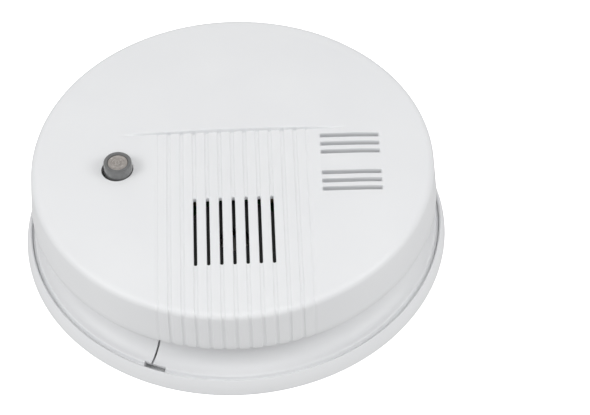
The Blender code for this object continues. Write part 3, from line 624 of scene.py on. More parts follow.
def cover_blank(sizes):
    """The plain cover, with extra lines of edges wherever its relief needs them."""
    outer, inner = cover_profile(sizes)
    blank = turned("cover_blank", outer + inner, ROUND)
    work = bmesh.new()
    work.from_mesh(blank.data)
    pitch = mm(sizes.pitch)
    half = sizes.ribs // 2
    step = mm(sizes.step)
    reach = half * pitch + 0.6
    left, right = LOUVRE_ENDS
    low, high = min(LOUVRE_ROWS), max(LOUVRE_ROWS)

    def outside(spot):
        radius = math.hypot(spot.x, spot.y)
        return radius > 58.6 or spot.z > INSIDE_HEIGHT + 0.75 - sizes.crown_fall * radius * radius

    def on_face(spot):
        return abs(spot.x) < reach + 0.8 and spot.y < step + 0.5 and outside(spot)

    def near_step(spot):
        return abs(spot.x) < STEP_REACH and outside(spot)

    def near_louvres(spot):
        return left - 0.9 < spot.x < right + 0.9 and low - 2 < spot.y < high + 2 and outside(spot)

    lines = [step + i * STEP_FILLET / 2 for i in range(-2, 3)]
    lines += [step - SEAM_OFFSET + i * SEAM_WIDTH / 3 for i in range(-3, 3)]
    for line in lines:
        slice_faces(work, 1, line, near_step)
    for k in range(-half, half + 1):
        for part in RIB_LINES:
            place = (k + part) * pitch
            if abs(place) <= reach:
                slice_faces(work, 0, place, on_face)
    for row in LOUVRE_ROWS:
        for part in LOUVRE_LINES:
            slice_faces(work, 1, row + LOUVRE_WIDTH / 2 - part * LOUVRE_WIDTH, near_louvres)
    for end, way in ((left, 1), (right, -1)):
        for part in LOUVRE_END_LINES:
            slice_faces(work, 0, end + way * part, near_louvres)
    outer_layer = work.verts.layers.float.new("outer")
    edge_radius = outer[FACE_RINGS][0]
    for vert in work.verts:
        spot = vert.co / MM
        radius = math.hypot(spot.x, spot.y)
        sunk = sizes.crown_fall * radius**2
        if not outside(spot) or spot.z < COVER_LOW.z - 0.01:
            continue
        if radius > COVER_HIGH.x - 1.8 or spot.z > INSIDE_HEIGHT - 0.6 - sunk:
            vert[outer_layer] = 1.0
        if radius <= edge_radius + 0.01 and spot.z > INSIDE_HEIGHT - 1:
            vert.co.z = (spot.z + face_height(sizes, spot.x, spot.y) - (COVER_HIGH.z - sunk)) * MM
    work.to_mesh(blank.data)
    work.free()
    return blank


def rib_tree(sizes, cutter):
    """Geometry nodes: sinks the valleys between the ribs, then cuts slots through the middle ones."""
    tree = bpy.data.node_groups.new("ribs_and_slots", "GeometryNodeTree")
    tree.interface.new_socket("Geometry", in_out="OUTPUT", socket_type="NodeSocketGeometry")
    tree.interface.new_socket("Geometry", in_out="INPUT", socket_type="NodeSocketGeometry")
    inputs = {
        "Pitch": ("NodeSocketFloat", sizes.pitch),
        "Valley depth": ("NodeSocketFloat", sizes.valley),
        "Half band": ("NodeSocketFloat", sizes.ribs / 2),
        "Step": ("NodeSocketFloat", sizes.step),
        "Slots": ("NodeSocketInt", sizes.slots),
        "Cutter": ("NodeSocketObject", cutter),
        "Material": ("NodeSocketMaterial", finish("white_plastic")),
    }
    sockets = input_sockets(tree, {name: kind for name, (kind, value) in inputs.items()})
    given = node(tree, "NodeGroupInput").outputs
    place = node(tree, "GeometryNodeInputPosition")
    x, y, z = node(tree, "ShaderNodeSeparateXYZ", {0: place}).outputs
    turns = node(tree, MATH, {0: x, 1: given["Pitch"]}, operation="DIVIDE")
    nearest = node(tree, MATH, {0: turns}, operation="ROUND")
    off = node(tree, MATH, {0: turns, 1: nearest}, operation="SUBTRACT")
    away = node(tree, MATH, {0: off}, operation="ABSOLUTE")
    side = node(tree, MATH, {0: turns}, operation="ABSOLUTE")
    past = node(tree, MATH, {0: side, 1: given["Half band"]}, operation="SUBTRACT")
    ahead = node(tree, MATH, {0: given["Step"], 1: y}, operation="SUBTRACT")
    eased = []
    for value, low, high, start, end in (
        (away, 0.12, 0.205, 1.0, 0.0),
        (past, -0.25, 0.10, 1.0, 0.0),
        (ahead, 0.0, 0.4 * MM, 0.0, 1.0),
    ):
        ramp = {0: value, 1: low, 2: high, 3: start, 4: end}
        eased.append(node(tree, "ShaderNodeMapRange", ramp, interpolation_type="SMOOTHSTEP"))
    valley, band, front = eased
    crowned = node(tree, "ShaderNodeMapRange", {0: away, 1: 0.2, 2: 0.5, 3: 0.14, 4: 0.0})
    swell = node(tree, MATH, {0: valley, 1: crowned}, operation="MAXIMUM")
    amount = node(tree, "GeometryNodeInputNamedAttribute", {"Name": "outer"})
    for factor in (swell, band, front, given["Valley depth"]):
        amount = node(tree, MATH, {0: amount, 1: factor}, operation="MULTIPLY")
    inward = node(tree, MATH, {0: amount, 1: -1.0}, operation="MULTIPLY")
    normal = node(tree, "GeometryNodeInputNormal")
    move = node(tree, "ShaderNodeVectorMath", {0: normal, 3: inward}, operation="SCALE")
    relief = node(tree, "GeometryNodeSetPosition", {"Geometry": given["Geometry"], "Offset": move})
    spare = node(tree, MATH, {0: given["Slots"], 1: 1.0}, operation="SUBTRACT")
    half = node(tree, MATH, {0: spare, 1: -0.5}, operation="MULTIPLY")
    start_x = node(tree, MATH, {0: half, 1: given["Pitch"]}, operation="MULTIPLY")
    start = node(tree, "ShaderNodeCombineXYZ", {0: start_x})
    stride = node(tree, "ShaderNodeCombineXYZ", {0: given["Pitch"]})
    line = {"Count": given["Slots"], "Start Location": start, "Offset": stride}
    line = node(tree, "GeometryNodeMeshLine", line)
    shape = node(tree, "GeometryNodeObjectInfo", {"Object": given["Cutter"]}).outputs["Geometry"]
    copies = node(tree, "GeometryNodeInstanceOnPoints", {"Points": line, "Instance": shape})
    solid = node(tree, "GeometryNodeRealizeInstances", {0: copies})
    both = {"Mesh 1": relief, "Mesh 2": solid}
    opened = node(tree, "GeometryNodeMeshBoolean", both, operation="DIFFERENCE", solver="EXACT")
    whole = node(tree, "GeometryNodeRealizeInstances", {0: opened})
    final = {"Geometry": whole, "Material": given["Material"]}
    node(tree, "NodeGroupOutput", {0: node(tree, "GeometryNodeSetMaterial", final)})
    return tree, {sockets[name]: value for name, (kind, value) in inputs.items()}


CUT_LOW, CUT_HIGH = 25.0, 40.0


def slot_cutter(sizes):
    """One slot's cutter: a long bar with round ends, at x = 0."""
    radius = mm(sizes.slot_width) / 2
    front, back = mm(sizes.slot_front) + radius, mm(sizes.slot_back) - radius

    def build(work):
        ring = []
        for centre, start in ((back, 0.0), (front, math.pi)):
            for i in range(9):
                angle = start + math.pi * i / 8
                ring.append((radius * math.cos(angle) * MM, (centre + radius * math.sin(angle)) * MM))
        low = [work.verts.new((x, y, CUT_LOW * MM)) for x, y in ring]
        high = [work.verts.new((x, y, CUT_HIGH * MM)) for x, y in ring]
        work.faces.new(list(reversed(low)))
        work.faces.new(high)
        for i in range(len(ring)):
            k = (i + 1) % len(ring)
            work.faces.new((low[i], low[k], high[k], high[i]))

    return mesh_object("slot_cutter", build)


class ALARM_OT_cover(bpy.types.Operator):
    """Moulds the front cover with its ribs, slots, louvres and step"""

    bl_idname = "alarm.cover"
    bl_label = "Front cover"

    def execute(self, context):
        settings = context.scene.alarm
        cover = cover_blank(settings.cover)
        cutter = slot_cutter(settings.cover)
        run_tree(cover, *rib_tree(settings.cover, cutter))
        drop(cutter)
        hole = mm(settings.button.hole)
        profile = [(0.0, CUT_HIGH), (hole, CUT_HIGH), (hole, CUT_LOW), (0.0, CUT_LOW)]
        centre = (BUTTON_X - mm(settings.button.hole_shift), BUTTON_Y)
        cut(cover, turned("button_hole", profile, 64, centre))
        cover.name = "cover"
        done(cover, "head", "white_plastic", ["front_cover"], sharp=50)
        return {"FINISHED"}


# ---------------------------------------------------------------- housing

SKIRT_TOP, SKIRT_BOTTOM = 17.0, 5.3
SKIRT_EDGE = 60.3
HOUSING_TOP = 20.0
FLOOR_LOW, FLOOR_HIGH = 5.6, 7.2
BAY_X, BAY_LOW, BAY_HIGH, BAY_WALL = 27.0, 10.6, 37.6, 1.4
POST_CIRCLE = 47.0
SLIT_TOP = 16.2
SLIT_LEAN = -5.5


def cove(sizes, inset, first, last, steps):
    """Points of the concave skirt between two angles, moved into the wall by an inset."""
    across, down = SKIRT_EDGE - mm(sizes.neck), SKIRT_TOP - SKIRT_BOTTOM
    found = []
    for i in range(steps + 1):
        angle = math.radians(first + (last - first) * i / steps)
        normal = Vector((math.cos(angle) / across, math.sin(angle) / down)).normalized()
        radius = SKIRT_EDGE - across * math.cos(angle) - inset * normal.x
        found.append((radius, SKIRT_TOP - down * math.sin(angle) - inset * normal.y))
    return found


def housing_profile(sizes):
    neck, foot, wall = mm(sizes.neck), mm(sizes.foot), mm(sizes.wall)
    inner = neck - 1.6
    rim = HOUSING_LOW.z
    return [
        (0.0, FLOOR_HIGH),
        (inner, FLOOR_HIGH),
        (inner, HOUSING_TOP),
        (inner + 0.3, HOUSING_TOP),
        (neck - 0.2, HOUSING_TOP),
        (neck, HOUSING_TOP - 0.2),
        *cove(sizes, 0.0, 0, 88, 22),
        (foot - 0.62, 5.24),
        (foot - 0.38, 5.08),
        (foot - 0.24, 4.7),
        (foot - 0.14, 4.4),
        (foot + 0.06, 4.22),
        (foot + 0.45, 4.18),
        (foot + 0.45, 3.1),
        (foot, rim + 0.2),
        (foot - 0.2, rim),
        (foot - 1.4, rim),
        *reversed(cove(sizes, wall, 42, 84, 8)),
        (neck, 9.0),
        (neck, rim),
        (inner, rim),
        (inner, FLOOR_LOW),
        (0.0, FLOOR_LOW),
    ]


class ALARM_OT_housing(bpy.types.Operator):
    """Moulds the back housing: skirt, battery bay, hinge bosses, posts and bayonet lugs"""

    bl_idname = "alarm.housing"
    bl_label = "Back housing"

    def execute(self, context):
        body = turned("housing", housing_profile(context.scene.alarm.body), ROUND)
        low = (-BAY_X - BAY_WALL, BAY_LOW - BAY_WALL, 6.0)
        join(body, block("bay", low, (BAY_X + BAY_WALL, BAY_HIGH + BAY_WALL, 26.8), 0.6))
        for side in (-1, 1):
            near, far = sorted((side * (BAY_X + 0.2), side * (BAY_X + 4.2)))
            join(body, block("boss", (near, 6.2, 5.8), (far, 11.6, 9.6), 0.4))
        cut(body, block("bay_inside", (-BAY_X, BAY_LOW, 6.7), (BAY_X, BAY_HIGH, 25.4), 0.5))
        cut(body, block("bay_mouth", (-BAY_X, DOOR_HINGE_Y - 2.0, 1.0), (BAY_X, BAY_HIGH + 0.8, 9.2)))
        bore = rod("bore", (0, 0), -BAY_X - 2.9, BAY_X + 2.9, 1.05, segments=32)
        cut(body, lay_mesh(bore, (0, DOOR_HINGE_Y, DOOR_HINGE_Z)))
        for angle in POST_ANGLES:
            place = at_angle(POST_CIRCLE, angle)
            join(body, rod("post", place, 5.9, HOUSING_TOP, 3.2, 0.3))
            join(body, rod("post_foot", place, 6.1, 10.6, 4.4))
            cut(body, rod("post_bore", place, 1.0, HOUSING_TOP + 1, 1.7, segments=32))
            cut(body, rod("head_recess", place, 1.0, 9.0, 3.2))
        for angle in HOOK_ANGLES:
            join(body, turn_mesh(block("lug", (53.0, -5.0, HOUSING_LOW.z), (55.8, 5.0, 3.1), 0.3), angle))
        slit = block("slit", (53.85, -0.3, 2.5), (62.0, 0.3, SLIT_TOP))
        top = Matrix.Translation(Vector((0, 0, SLIT_TOP)) * MM)
        lean = Matrix.Rotation(math.radians(SLIT_LEAN), 4, "X")
        cut(body, turn_mesh(place_mesh(slit, top @ lean @ top.inverted()), TAB_ANGLE))
        cut(body, turn_mesh(block("notch", (59.9, -3.3, 1.0), (61.6, 3.3, 5.3)), TAB_ANGLE))
        cut(body, turn_mesh(block("notch_inside", (57.8, -3.2, 1.0), (60.5, 3.2, 4.3)), TAB_ANGLE))
        done(body, "head", "white_plastic", ["back_housing"], sharp=35)
        return {"FINISHED"}


# ---------------------------------------------------------------- bracket

WEB_BACK, WEB_FRONT = -5.0, -27.0
KEYHOLE_X, KEYHOLE_Y, KEYHOLE_END = 33.0, -20.0, -12.0
KEYHOLE_ENTRY, KEYHOLE_NECK = 4.2, 2.2


class ALARM_OT_bracket(bpy.types.Operator):
    """Moulds the mounting bracket with its rim, web, keyholes and hooks"""

    bl_idname = "alarm.bracket"
    bl_label = "Mounting bracket"

    def execute(self, context):
        sizes = context.scene.alarm.body
        rim, lip, pocket, inner = BRACKET_HIGH.x, mm(sizes.lip), mm(sizes.pocket), mm(sizes.ring_inner)
        top = BRACKET_HIGH.z
        profile = [
            (pocket, top - 1.0),
            (pocket + 0.08, top - 0.4),
            (pocket + 0.24, top - 0.1),
            (pocket + 0.46, top),
            (lip - 0.2, top),
            (lip, top - 0.25),
            (rim - 0.25, 1.4),
            (rim - 0.02, 0.5),
            (rim, 0.3),
            (rim - 0.1, 0.08),
            (rim - 0.3, 0.0),
            (inner + 0.2, 0.0),
            (inner, 0.2),
            (inner, 1.6),
            (inner + 0.2, 1.8),
            (pocket - 0.4, 1.8),
            (pocket - 0.1, 1.9),
            (pocket, 2.2),
        ]
        bracket = turned("bracket", profile, ROUND, closed=True)
        web = block("web", (-50.0, WEB_FRONT, 0.0), (50.0, WEB_BACK, 1.6))
        for x in (-KEYHOLE_X, KEYHOLE_X):
            low, high = (x - KEYHOLE_NECK, KEYHOLE_Y, -1.0), (x + KEYHOLE_NECK, KEYHOLE_END, 3.0)
            cut(web, rod("entry", (x, KEYHOLE_Y), -1.0, 3.0, KEYHOLE_ENTRY))
            cut(web, rod("neck_end", (x, KEYHOLE_END), -1.0, 3.0, KEYHOLE_NECK))
            cut(web, block("neck", low, high))
        join(bracket, web)
        for angle in HOOK_ANGLES:
            join(bracket, turn_mesh(block("hook_post", (56.3, -5.0, 1.0), (57.4, 5.0, 4.3), 0.2), angle))
            join(bracket, turn_mesh(block("hook_ledge", (54.3, -5.0, 3.4), (56.8, 5.0, 4.3), 0.2), angle))
        done(bracket, "bracket", "white_plastic", ["mounting_bracket"], sharp=35)
        return {"FINISHED"}


# ---------------------------------------------------------------- button

WINDOW_RADIUS = 3.0
FLANGE_RADIUS = 5.8
FLANGE_LOW, FLANGE_HIGH = 28.2, 29.4


class ALARM_OT_button(bpy.types.Operator):
    """Moulds the smoked test button with its ringed window"""

    bl_idname = "alarm.button"
    bl_label = "Test button"

    def execute(self, context):
        sizes = context.scene.alarm.button
        x, y = place = (BUTTON_X, BUTTON_Y)
        top = BUTTON_HIGH.z
        upper, lower, inner = mm(sizes.top), mm(sizes.base), WINDOW_RADIUS
        profile = [
            (0.0, top - 0.9),
            (inner, top - 0.9),
            (inner, top - 0.35),
            (inner + 0.12, top - 0.12),
            (upper - 0.6, top),
            (upper - 0.4, top),
            (upper - 0.14, top - 0.1),
            (upper, top - 0.32),
            (lower - 0.05, 32.6),
            (lower, 32.1),
            (lower, FLANGE_HIGH),
            (FLANGE_RADIUS, FLANGE_HIGH),
            (FLANGE_RADIUS, FLANGE_LOW),
            (lower - 1.0, FLANGE_LOW),
            (upper - 1.0, top - 2.1),
            (0.0, top - 2.1),
        ]
        cap = turned("button_cap", profile, 96, place)
        join(cap, block("leg", (x + 4.6, y - 1.2, BUTTON_LOW.z), (x + FLANGE_RADIUS, y + 1.2, 29.0), 0.2))
        done(cap, "button", "smoked_clear_plastic", ["test_button"], sharp=35)
        z = top - 0.85
        window = [(0.0, z + 0.2), (0.3, z + 0.2), (0.45, z + 0.6), (0.8, z + 0.6), (0.95, z + 0.25)]
        window += [(1.35, z + 0.25), (1.5, z + 0.55), (1.8, z + 0.55), (1.95, z + 0.3), (2.5, z + 0.3)]
        window += [(2.65, z + 0.5), (inner - 0.08, z + 0.5), (inner - 0.08, z), (0.0, z)]
        pane = turned("button_window", rounded(window, 0.12, 2), 72, place)
        for low, high in ((-0.9, -0.6), (0.6, 0.9)):
            arch = block("window_arch", (x + low, y - 2.2, z + 0.1), (x + high, y - 0.9, z + 0.55), 0.08)
            join(pane, arch)
        done(pane, "button", "smoked_clear_plastic", [], finish("lens_window"), sharp=50)
        return {"FINISHED"}


# ---------------------------------------------------------------- door, tab

DOOR_X = 26.7
DOOR_LOW, DOOR_TOP = 5.6, 7.1


class ALARM_OT_door(bpy.types.Operator):
    """Moulds the battery door with its hinge barrel, pins and finger notch"""

    bl_idname = "alarm.door"
    bl_label = "Battery door"

    def execute(self, context):
        edge = DOOR_HIGH.y
        door = block("door", (-DOOR_X, DOOR_HINGE_Y, DOOR_LOW), (DOOR_X, edge, DOOR_TOP), 0.3)
        for name, reach, radius in (("barrel", DOOR_X, 1.4), ("pin", DOOR_HIGH.x, 0.8)):
            bar = rod(name, (0, 0), -reach, reach, radius, 0.2)
            join(door, lay_mesh(bar, (0, DOOR_HINGE_Y, DOOR_HINGE_Z)))
        cut(door, rod("finger_notch", (0.0, edge + 2.0), 4.0, 9.0, 6.0))
        done(door, "door", "white_plastic", ["battery_door"], sharp=35)
        return {"FINISHED"}


class ALARM_OT_tab(bpy.types.Operator):
    """Moulds the tamper finger behind the slit in the skirt"""

    bl_idname = "alarm.tab"
    bl_label = "Tamper tab"

    def execute(self, context):
        tab = block("tab", (54.4, -6.0, 2.6), (57.4, 6.0, 3.6), 0.25)
        join(tab, block("nib", (56.8, -2.6, 2.6), (58.9, 2.6, 3.5), 0.2))
        cut(tab, block("spring_slot", (55.3, -4.6, 2.0), (56.0, 4.6, 4.0)))
        done(turn_mesh(tab, TAB_ANGLE), "head", "white_plastic", ["tamper_tab"])
        return {"FINISHED"}


# ---------------------------------------------------------------- battery


def centre_of(name):
    low, high = box_mm(name)
    return (low + high) / 2


def inset_block(name, low, high, sides, edge):
    """A box with its y and z sides moved in from those of another box."""
    in_y, in_z = sides
    return block(name, (low.x, low.y + in_y, low.z + in_z), (high.x, high.y - in_y, high.z - in_z), edge)


class ALARM_OT_battery(bpy.types.Operator):
    """Forms the plain nine volt battery: crimped case, end cap, two snap terminals, and its clips"""

    bl_idname = "alarm.battery"
    bl_label = "Battery"

    def execute(self, context):
        low, high = box_mm("battery_case")
        case = block("battery_shell", low, high, 1.6, 5)
        fold = (high.x - 0.4, high.y + 0.12, 17.2)
        join(case, block("seam_fold", (low.x + 2.0, high.y - 0.5, 15.4), fold, 0.1))
        done(case, "head", "silver_jacket", ["battery_case"])
        low, high = box_mm("battery_end_cap")
        cap = block("end_cap", low, high, 1.6, 5)
        end = Vector((high.x, low.y, low.z))
        recess = (end - Vector((0.5, 0, 0)), high + Vector((1, 0, 0)), (1.6, 1.6), 0.4)
        base = (end - Vector((0.7, 0, 0)), high - Vector((0.1, 0, 0)), (3.0, 4.0), 0.2)
        cut(cap, inset_block("cap_recess", *recess))
        join(cap, inset_block("cap_base", *base))
        done(cap, "head", "black_plastic", ["battery_end_cap"])
        for name, count, flare in (("positive", 48, 0.0), ("negative", 6, 0.35)):
            radius = self.terminal(name, count, flare)
            self.clip(name, radius)
        low, high = box_mm("contact_block")
        holder = block("contact_holder", low, high, 0.3)
        for name in ("positive", "negative"):
            y = centre_of("contact_clip_" + name).y
            pocket = (low.x - 1, y - 4.2, low.z + 3.0), (low.x + 0.8, y + 4.2, high.z - 3.0)
            cut(holder, block("pocket", *pocket, 0.3))
        done(holder, "head", "black_plastic", ["contact_block"])
        return {"FINISHED"}

    def terminal(self, name, count, flare):
        """A snap stud: round for the positive one, six-sided and flared for the negative one."""
        node_name = "battery_terminal_" + name
        low, high = box_mm(node_name)
        middle = centre_of(node_name)
        radius, tall = (high.y - low.y) / 2, high.x - low.x
        collar = radius - 0.45
        foot, bore = radius - 0.15, collar - 0.9
        profile = [(collar - 0.5, tall), (collar, tall), (radius - flare, tall - 0.25)]
        profile += [(radius - 0.3, tall * 0.55), (collar, tall * 0.3), (foot, 0.15)]
        profile += [(foot, 0.0), (bore, 0.0), (bore, 0.3), (bore, tall - 0.4)]
        stud = turned(node_name + "_stud", profile, count, closed=True)
        done(lay_mesh(stud, (low.x, middle.y, middle.z)), "head", "steel", [node_name], sharp=25)
        return radius

    def clip(self, name, radius):
        """The spring clip that meets a terminal: a plate with a window and a split."""
        clip_name = "contact_clip_" + name
        low, high = box_mm(clip_name)
        middle = centre_of("battery_terminal_" + name)
        clip = block("clip_" + name, low, high, 0.15)
        window = rod("clip_window", (0, 0), -1.0, 1.0, radius - 0.9, segments=32)
        cut(clip, lay_mesh(window, centre_of(clip_name)))
        split = (low.x - 1, middle.y - 0.4, middle.z), (high.x + 1, middle.y + 0.4, high.z + 1)
        cut(clip, block("clip_split", *split))
        done(clip, "head", "steel", [clip_name])


# ---------------------------------------------------------------- screws

THREAD_PITCH, THREAD_DEPTH, THREAD_HALF = 0.8, 0.2, 0.24
RECESS_HALF = 0.32


def screw_tree(head, material):
    """Geometry nodes: a pan-head screw at every point given, its shank running down from its head."""
    tree = bpy.data.node_groups.new("screws", "GeometryNodeTree")
    tree.interface.new_socket("Geometry", in_out="OUTPUT", socket_type="NodeSocketGeometry")
    tree.interface.new_socket("Points", in_out="INPUT", socket_type="NodeSocketGeometry")
    sockets = input_sockets(tree, {"Head": "NodeSocketObject", "Material": "NodeSocketMaterial"})
    given = node(tree, "NodeGroupInput").outputs
    shape = node(tree, "GeometryNodeObjectInfo", {"Object": given["Head"]}).outputs["Geometry"]
    places = {"Points": given["Points"], "Instance": shape}
    copies = node(tree, "GeometryNodeInstanceOnPoints", places)
    solid = node(tree, "GeometryNodeRealizeInstances", {0: copies})
    final = {"Geometry": solid, "Material": given["Material"]}
    node(tree, "NodeGroupOutput", {0: node(tree, "GeometryNodeSetMaterial", final)})
    return tree, {sockets["Head"]: head, sockets["Material"]: material}


def screw_shape(radius, shank, head, tall):
    """A pan-head screw standing head up on z = 0, with a cross recess and a ridged shank hanging down."""
    profile = [(0.0, head), (radius * 0.62, head), (radius, head * 0.45), (radius, 0.0), (shank, 0.0)]
    profile = rounded(profile, 0.3, 3)
    turns = int(tall / THREAD_PITCH)
    for i in range(turns):
        z = -tall * (i + 0.5) / turns
        profile += [(shank, z + THREAD_HALF), (shank - THREAD_DEPTH, z), (shank, z - THREAD_HALF)]
    profile += [(shank, -tall + 0.6), (0.0, -tall)]
    shape = turned("screw_shape", profile, 40)
    reach = radius * 0.62
    for turn in (0, 90):
        arm = block("cross_arm", (-reach, -RECESS_HALF, head - 0.8), (reach, RECESS_HALF, head + 1.0))
        cut(shape, turn_mesh(arm, turn))
    return shape


class ALARM_OT_screws(bpy.types.Operator):
    """Sets the pan-head screws of the cover and of the circuit board"""

    bl_idname = "alarm.screws"
    bl_label = "Screws"

    def execute(self, context):
        for kind, radius, shank, head, way in (("cover", 2.8, 1.35, 2.1, -1), ("board", 2.7, 1.2, 1.6, 1)):
            names = [f"{kind}_screw_{i}" for i in (1, 2, 3)]
            low, high = box_mm(names[0])
            shape = screw_shape(radius, shank, head, high.z - low.z - head)
            seat = low.z + head if way < 0 else high.z - head
            middles = [centre_of(name) for name in names]
            points = bpy.data.meshes.new("screw_places")
            points.from_pydata([(at.x * MM, at.y * MM, way * seat * MM) for at in middles], [], [])
            screws = new_object(kind + "_screws", points)
            run_tree(screws, *screw_tree(shape, finish("steel")))
            if way < 0:
                place_mesh(screws, Matrix.Diagonal((1, 1, -1)).to_4x4())
                screws.data.flip_normals()
            drop(shape)
            done(screws, "head", "steel", names, sharp=30)
        return {"FINISHED"}


# ---------------------------------------------------------------- electronics

HORN_MOUTH, HORN_WALL, HORN_RIBS = 4.0, 1.5, 12
CAN_WALL, CAN_VENTS = 0.6, 16
CHIP_LEGS = 8
WIRE_STEP = 0.6


class ALARM_OT_electronics(bpy.types.Operator):
    """Builds the horn, the sensing chamber, the lamp and the parts on the board"""

    bl_idname = "alarm.electronics"
    bl_label = "Electronics"

    def execute(self, context):
        self.horn()
        self.chamber()
        self.lamp()
        self.chip()
        self.capacitors()
        self.coil()
        self.resistors()
        return {"FINISHED"}

    def horn(self):
        low, high = box_mm("horn_body")
        place = centre_of("horn_body")
        radius, wall = (high.x - low.x) / 2, HORN_WALL
        top, foot = high.z, low.z
        profile = [(HORN_MOUTH, top - 1.0), (HORN_MOUTH + 0.4, top), (radius - 0.8, top), (radius, top - 0.8)]
        profile += [(radius, foot + 0.2), (radius - 0.2, foot), (radius - wall, foot)]
        profile += [(radius - wall, top - 1.4), (HORN_MOUTH, top - 1.4)]
        body = turned("horn_resonator", profile, 96, place, closed=True)
        for i in range(HORN_RIBS):
            gap = (radius - 0.35, -1.1, foot + 1.5), (radius + 1.0, 1.1, top - 2.2)
            groove = turn_mesh(block("horn_rib_gap", *gap, 0.1), 360 / HORN_RIBS * i)
            cut(body, move_mesh(groove, place.x, place.y))
        done(body, "head", "black_plastic", ["horn_body"])
        low, high = box_mm("horn_base_ring")
        top, foot, inner = high.z, low.z, radius - 3.0
        base = [(radius - wall, top), (radius - 0.15, top), (radius, top - 0.15), (radius, foot + 0.2)]
        base += [(radius - 0.2, foot), (inner, foot), (inner, top - 1.0), (radius - wall, top - 1.0)]
        done(turned("horn_base", base, 96, place, closed=True), "head", "black_plastic", ["horn_base_ring"])

    def chamber(self):
        low, high = box_mm("chamber_can")
        place = centre_of("chamber_can")
        radius, top, foot = (high.x - low.x) / 2, high.z, low.z
        inner = radius - CAN_WALL
        profile = [(0.0, top), (radius - 3.0, top), (radius - 2.4, top - 0.5), (radius, top - 0.5)]
        profile = rounded([*profile, (radius, foot)], 0.5)
        profile += [(inner, foot), (inner, top - 1.3), (radius - 2.6, top - 1.3), (0.0, top - CAN_WALL)]
        can = turned("ion_chamber", profile, 96, place)
        for i in range(CAN_VENTS):
            vent = block("vent", (radius - 2.0, -0.9, 17.5), (radius + 1.0, 0.9, 22.5), 0.3)
            cut(can, move_mesh(turn_mesh(vent, 360 / CAN_VENTS * i), place.x, place.y))
        done(can, "head", "steel", ["chamber_can"])

    def lamp(self):
        low, foot = LAMP_LOW, LAMP_LOW.z
        radius = (LAMP_HIGH.x - low.x) / 2
        centre = LAMP_HIGH.z - radius
        angles = [t * math.pi / 20 for t in range(11)]
        profile = [(radius * math.sin(angle), centre + radius * math.cos(angle)) for angle in angles]
        profile += [(radius, foot + 1.2), (radius + 0.25, foot + 1.2), (radius + 0.25, foot + 0.1)]
        profile += [(radius, foot), (0.0, foot)]
        done(turned("lamp", profile, 48, (BUTTON_X, BUTTON_Y)), "head", "red_lens", ["status_led"])

    def chip(self):
        low, high = box_mm("alarm_chip")
        middle = centre_of("alarm_chip").y
        chip = block("chip", low + Vector((0, 0.8, 1.0)), high - Vector((0, 0.8, 0)), 0.15)
        pitch = (high.x - low.x) / CHIP_LEGS
        for i in range(CHIP_LEGS):
            x = low.x + pitch * (i + 0.5)
            for side in (-1, 1):
                edge = middle + side * ((high.y - low.y) / 2 - 0.85)
                near, far = sorted((edge - side * 0.3, edge + side * 0.5))
                join(chip, block("leg", (x - 0.35, near, low.z), (x + 0.35, far, low.z + 2.1), 0.05, 1))
        cut(chip, rod("pin_one_mark", (low.x + 1.6, middle), high.z - 0.2, high.z + 1, 0.7))
        done(chip, "head", "black_plastic", ["alarm_chip"])

    def capacitors(self):
        for name in ("storage_capacitor", "filter_capacitor"):
            low, high = box_mm(name)
            radius, top, foot = (high.x - low.x) / 2, high.z, low.z
            profile = [(0.0, top - 0.2), (radius * 0.8, top - 0.2), (radius * 0.9, top), (radius, top - 0.3)]
            profile += [(radius, foot + 1.8), (radius - 0.3, foot + 1.4), (radius, foot + 1.0)]
            profile += [(radius, foot + 0.2), (radius - 0.2, foot), (0.0, foot)]
            done(turned(name + "_can", profile, 48, centre_of(name)), "head", "black_plastic", [name])

    def coil(self):
        low, high = box_mm("horn_coil")
        radius, top, foot = (high.x - low.x) / 2, high.z, low.z
        groove, ridge = radius - 0.5, radius - 0.2
        turns = [(0.0, top), (radius - 0.3, top), (radius, top - 0.3)]
        for i in range(int((top - foot - 2.0) / WIRE_STEP)):
            z = top - 1.0 - WIRE_STEP * i
            turns += [(groove, z), (ridge, z - 0.15), (ridge, z - 0.45), (groove, z - WIRE_STEP)]
        turns += [(radius, foot + 0.3), (radius - 0.3, foot), (0.0, foot)]
        done(turned("coil_winding", turns, 64, centre_of("horn_coil")), "head", "copper_wire", ["horn_coil"])

    def resistors(self):
        for i in range(1, 5):
            name = f"resistor_{i}"
            low, high = box_mm(name)
            radius, half = (high.z - low.z) / 2, (high.x - low.x) / 2
            profile = [(0.0, half), (radius * 0.7, half), (radius, half - 0.5)]
            profile += [(radius, half - 1.5), (radius * 0.82, half - 1.9)]
            profile += [(r, -z) for r, z in reversed(profile)]
            body = turned(name + "_body", rounded(profile, 0.3, 2), 40)
            done(lay_mesh(body, centre_of(name)), "head", "resistor", [name])


# ---------------------------------------------------------------- carried-over pieces


class ALARM_OT_inner_pieces(bpy.types.Operator):
    """Gives every frame piece that stays its own finish"""

    bl_idname = "alarm.inner_pieces"
    bl_label = "Inner pieces"

    def execute(self, context):
        slots = {part["node"]: part["material_slot"] for part in frame["record"]["subparts"]}
        for name, obj in frame["nodes"].items():
            for slot in obj.material_slots:
                slot.material = finish(slots[name])
        return {"FINISHED"}


# ---------------------------------------------------------------- stage

CAMERA_ELEVATION = 48.49
CAMERA_ROLL = 1.655
CAMERA_TURN = -0.882
CAMERA_DISTANCE = 747.014
CAMERA_ACROSS, CAMERA_UP = 17.91335, 6.5913
CAMERA_LENS = 149.68354
SENSOR_WIDTH = 36.0
SOFT_BOXES = ((195, 38, 2.75), (270, 58, 1.55), (345, 38, 2.5))
SOFT_BOX_SIZE = 0.5
AIM = Vector((0, 0, 0.01))
FLOOR_HALF = 6.0


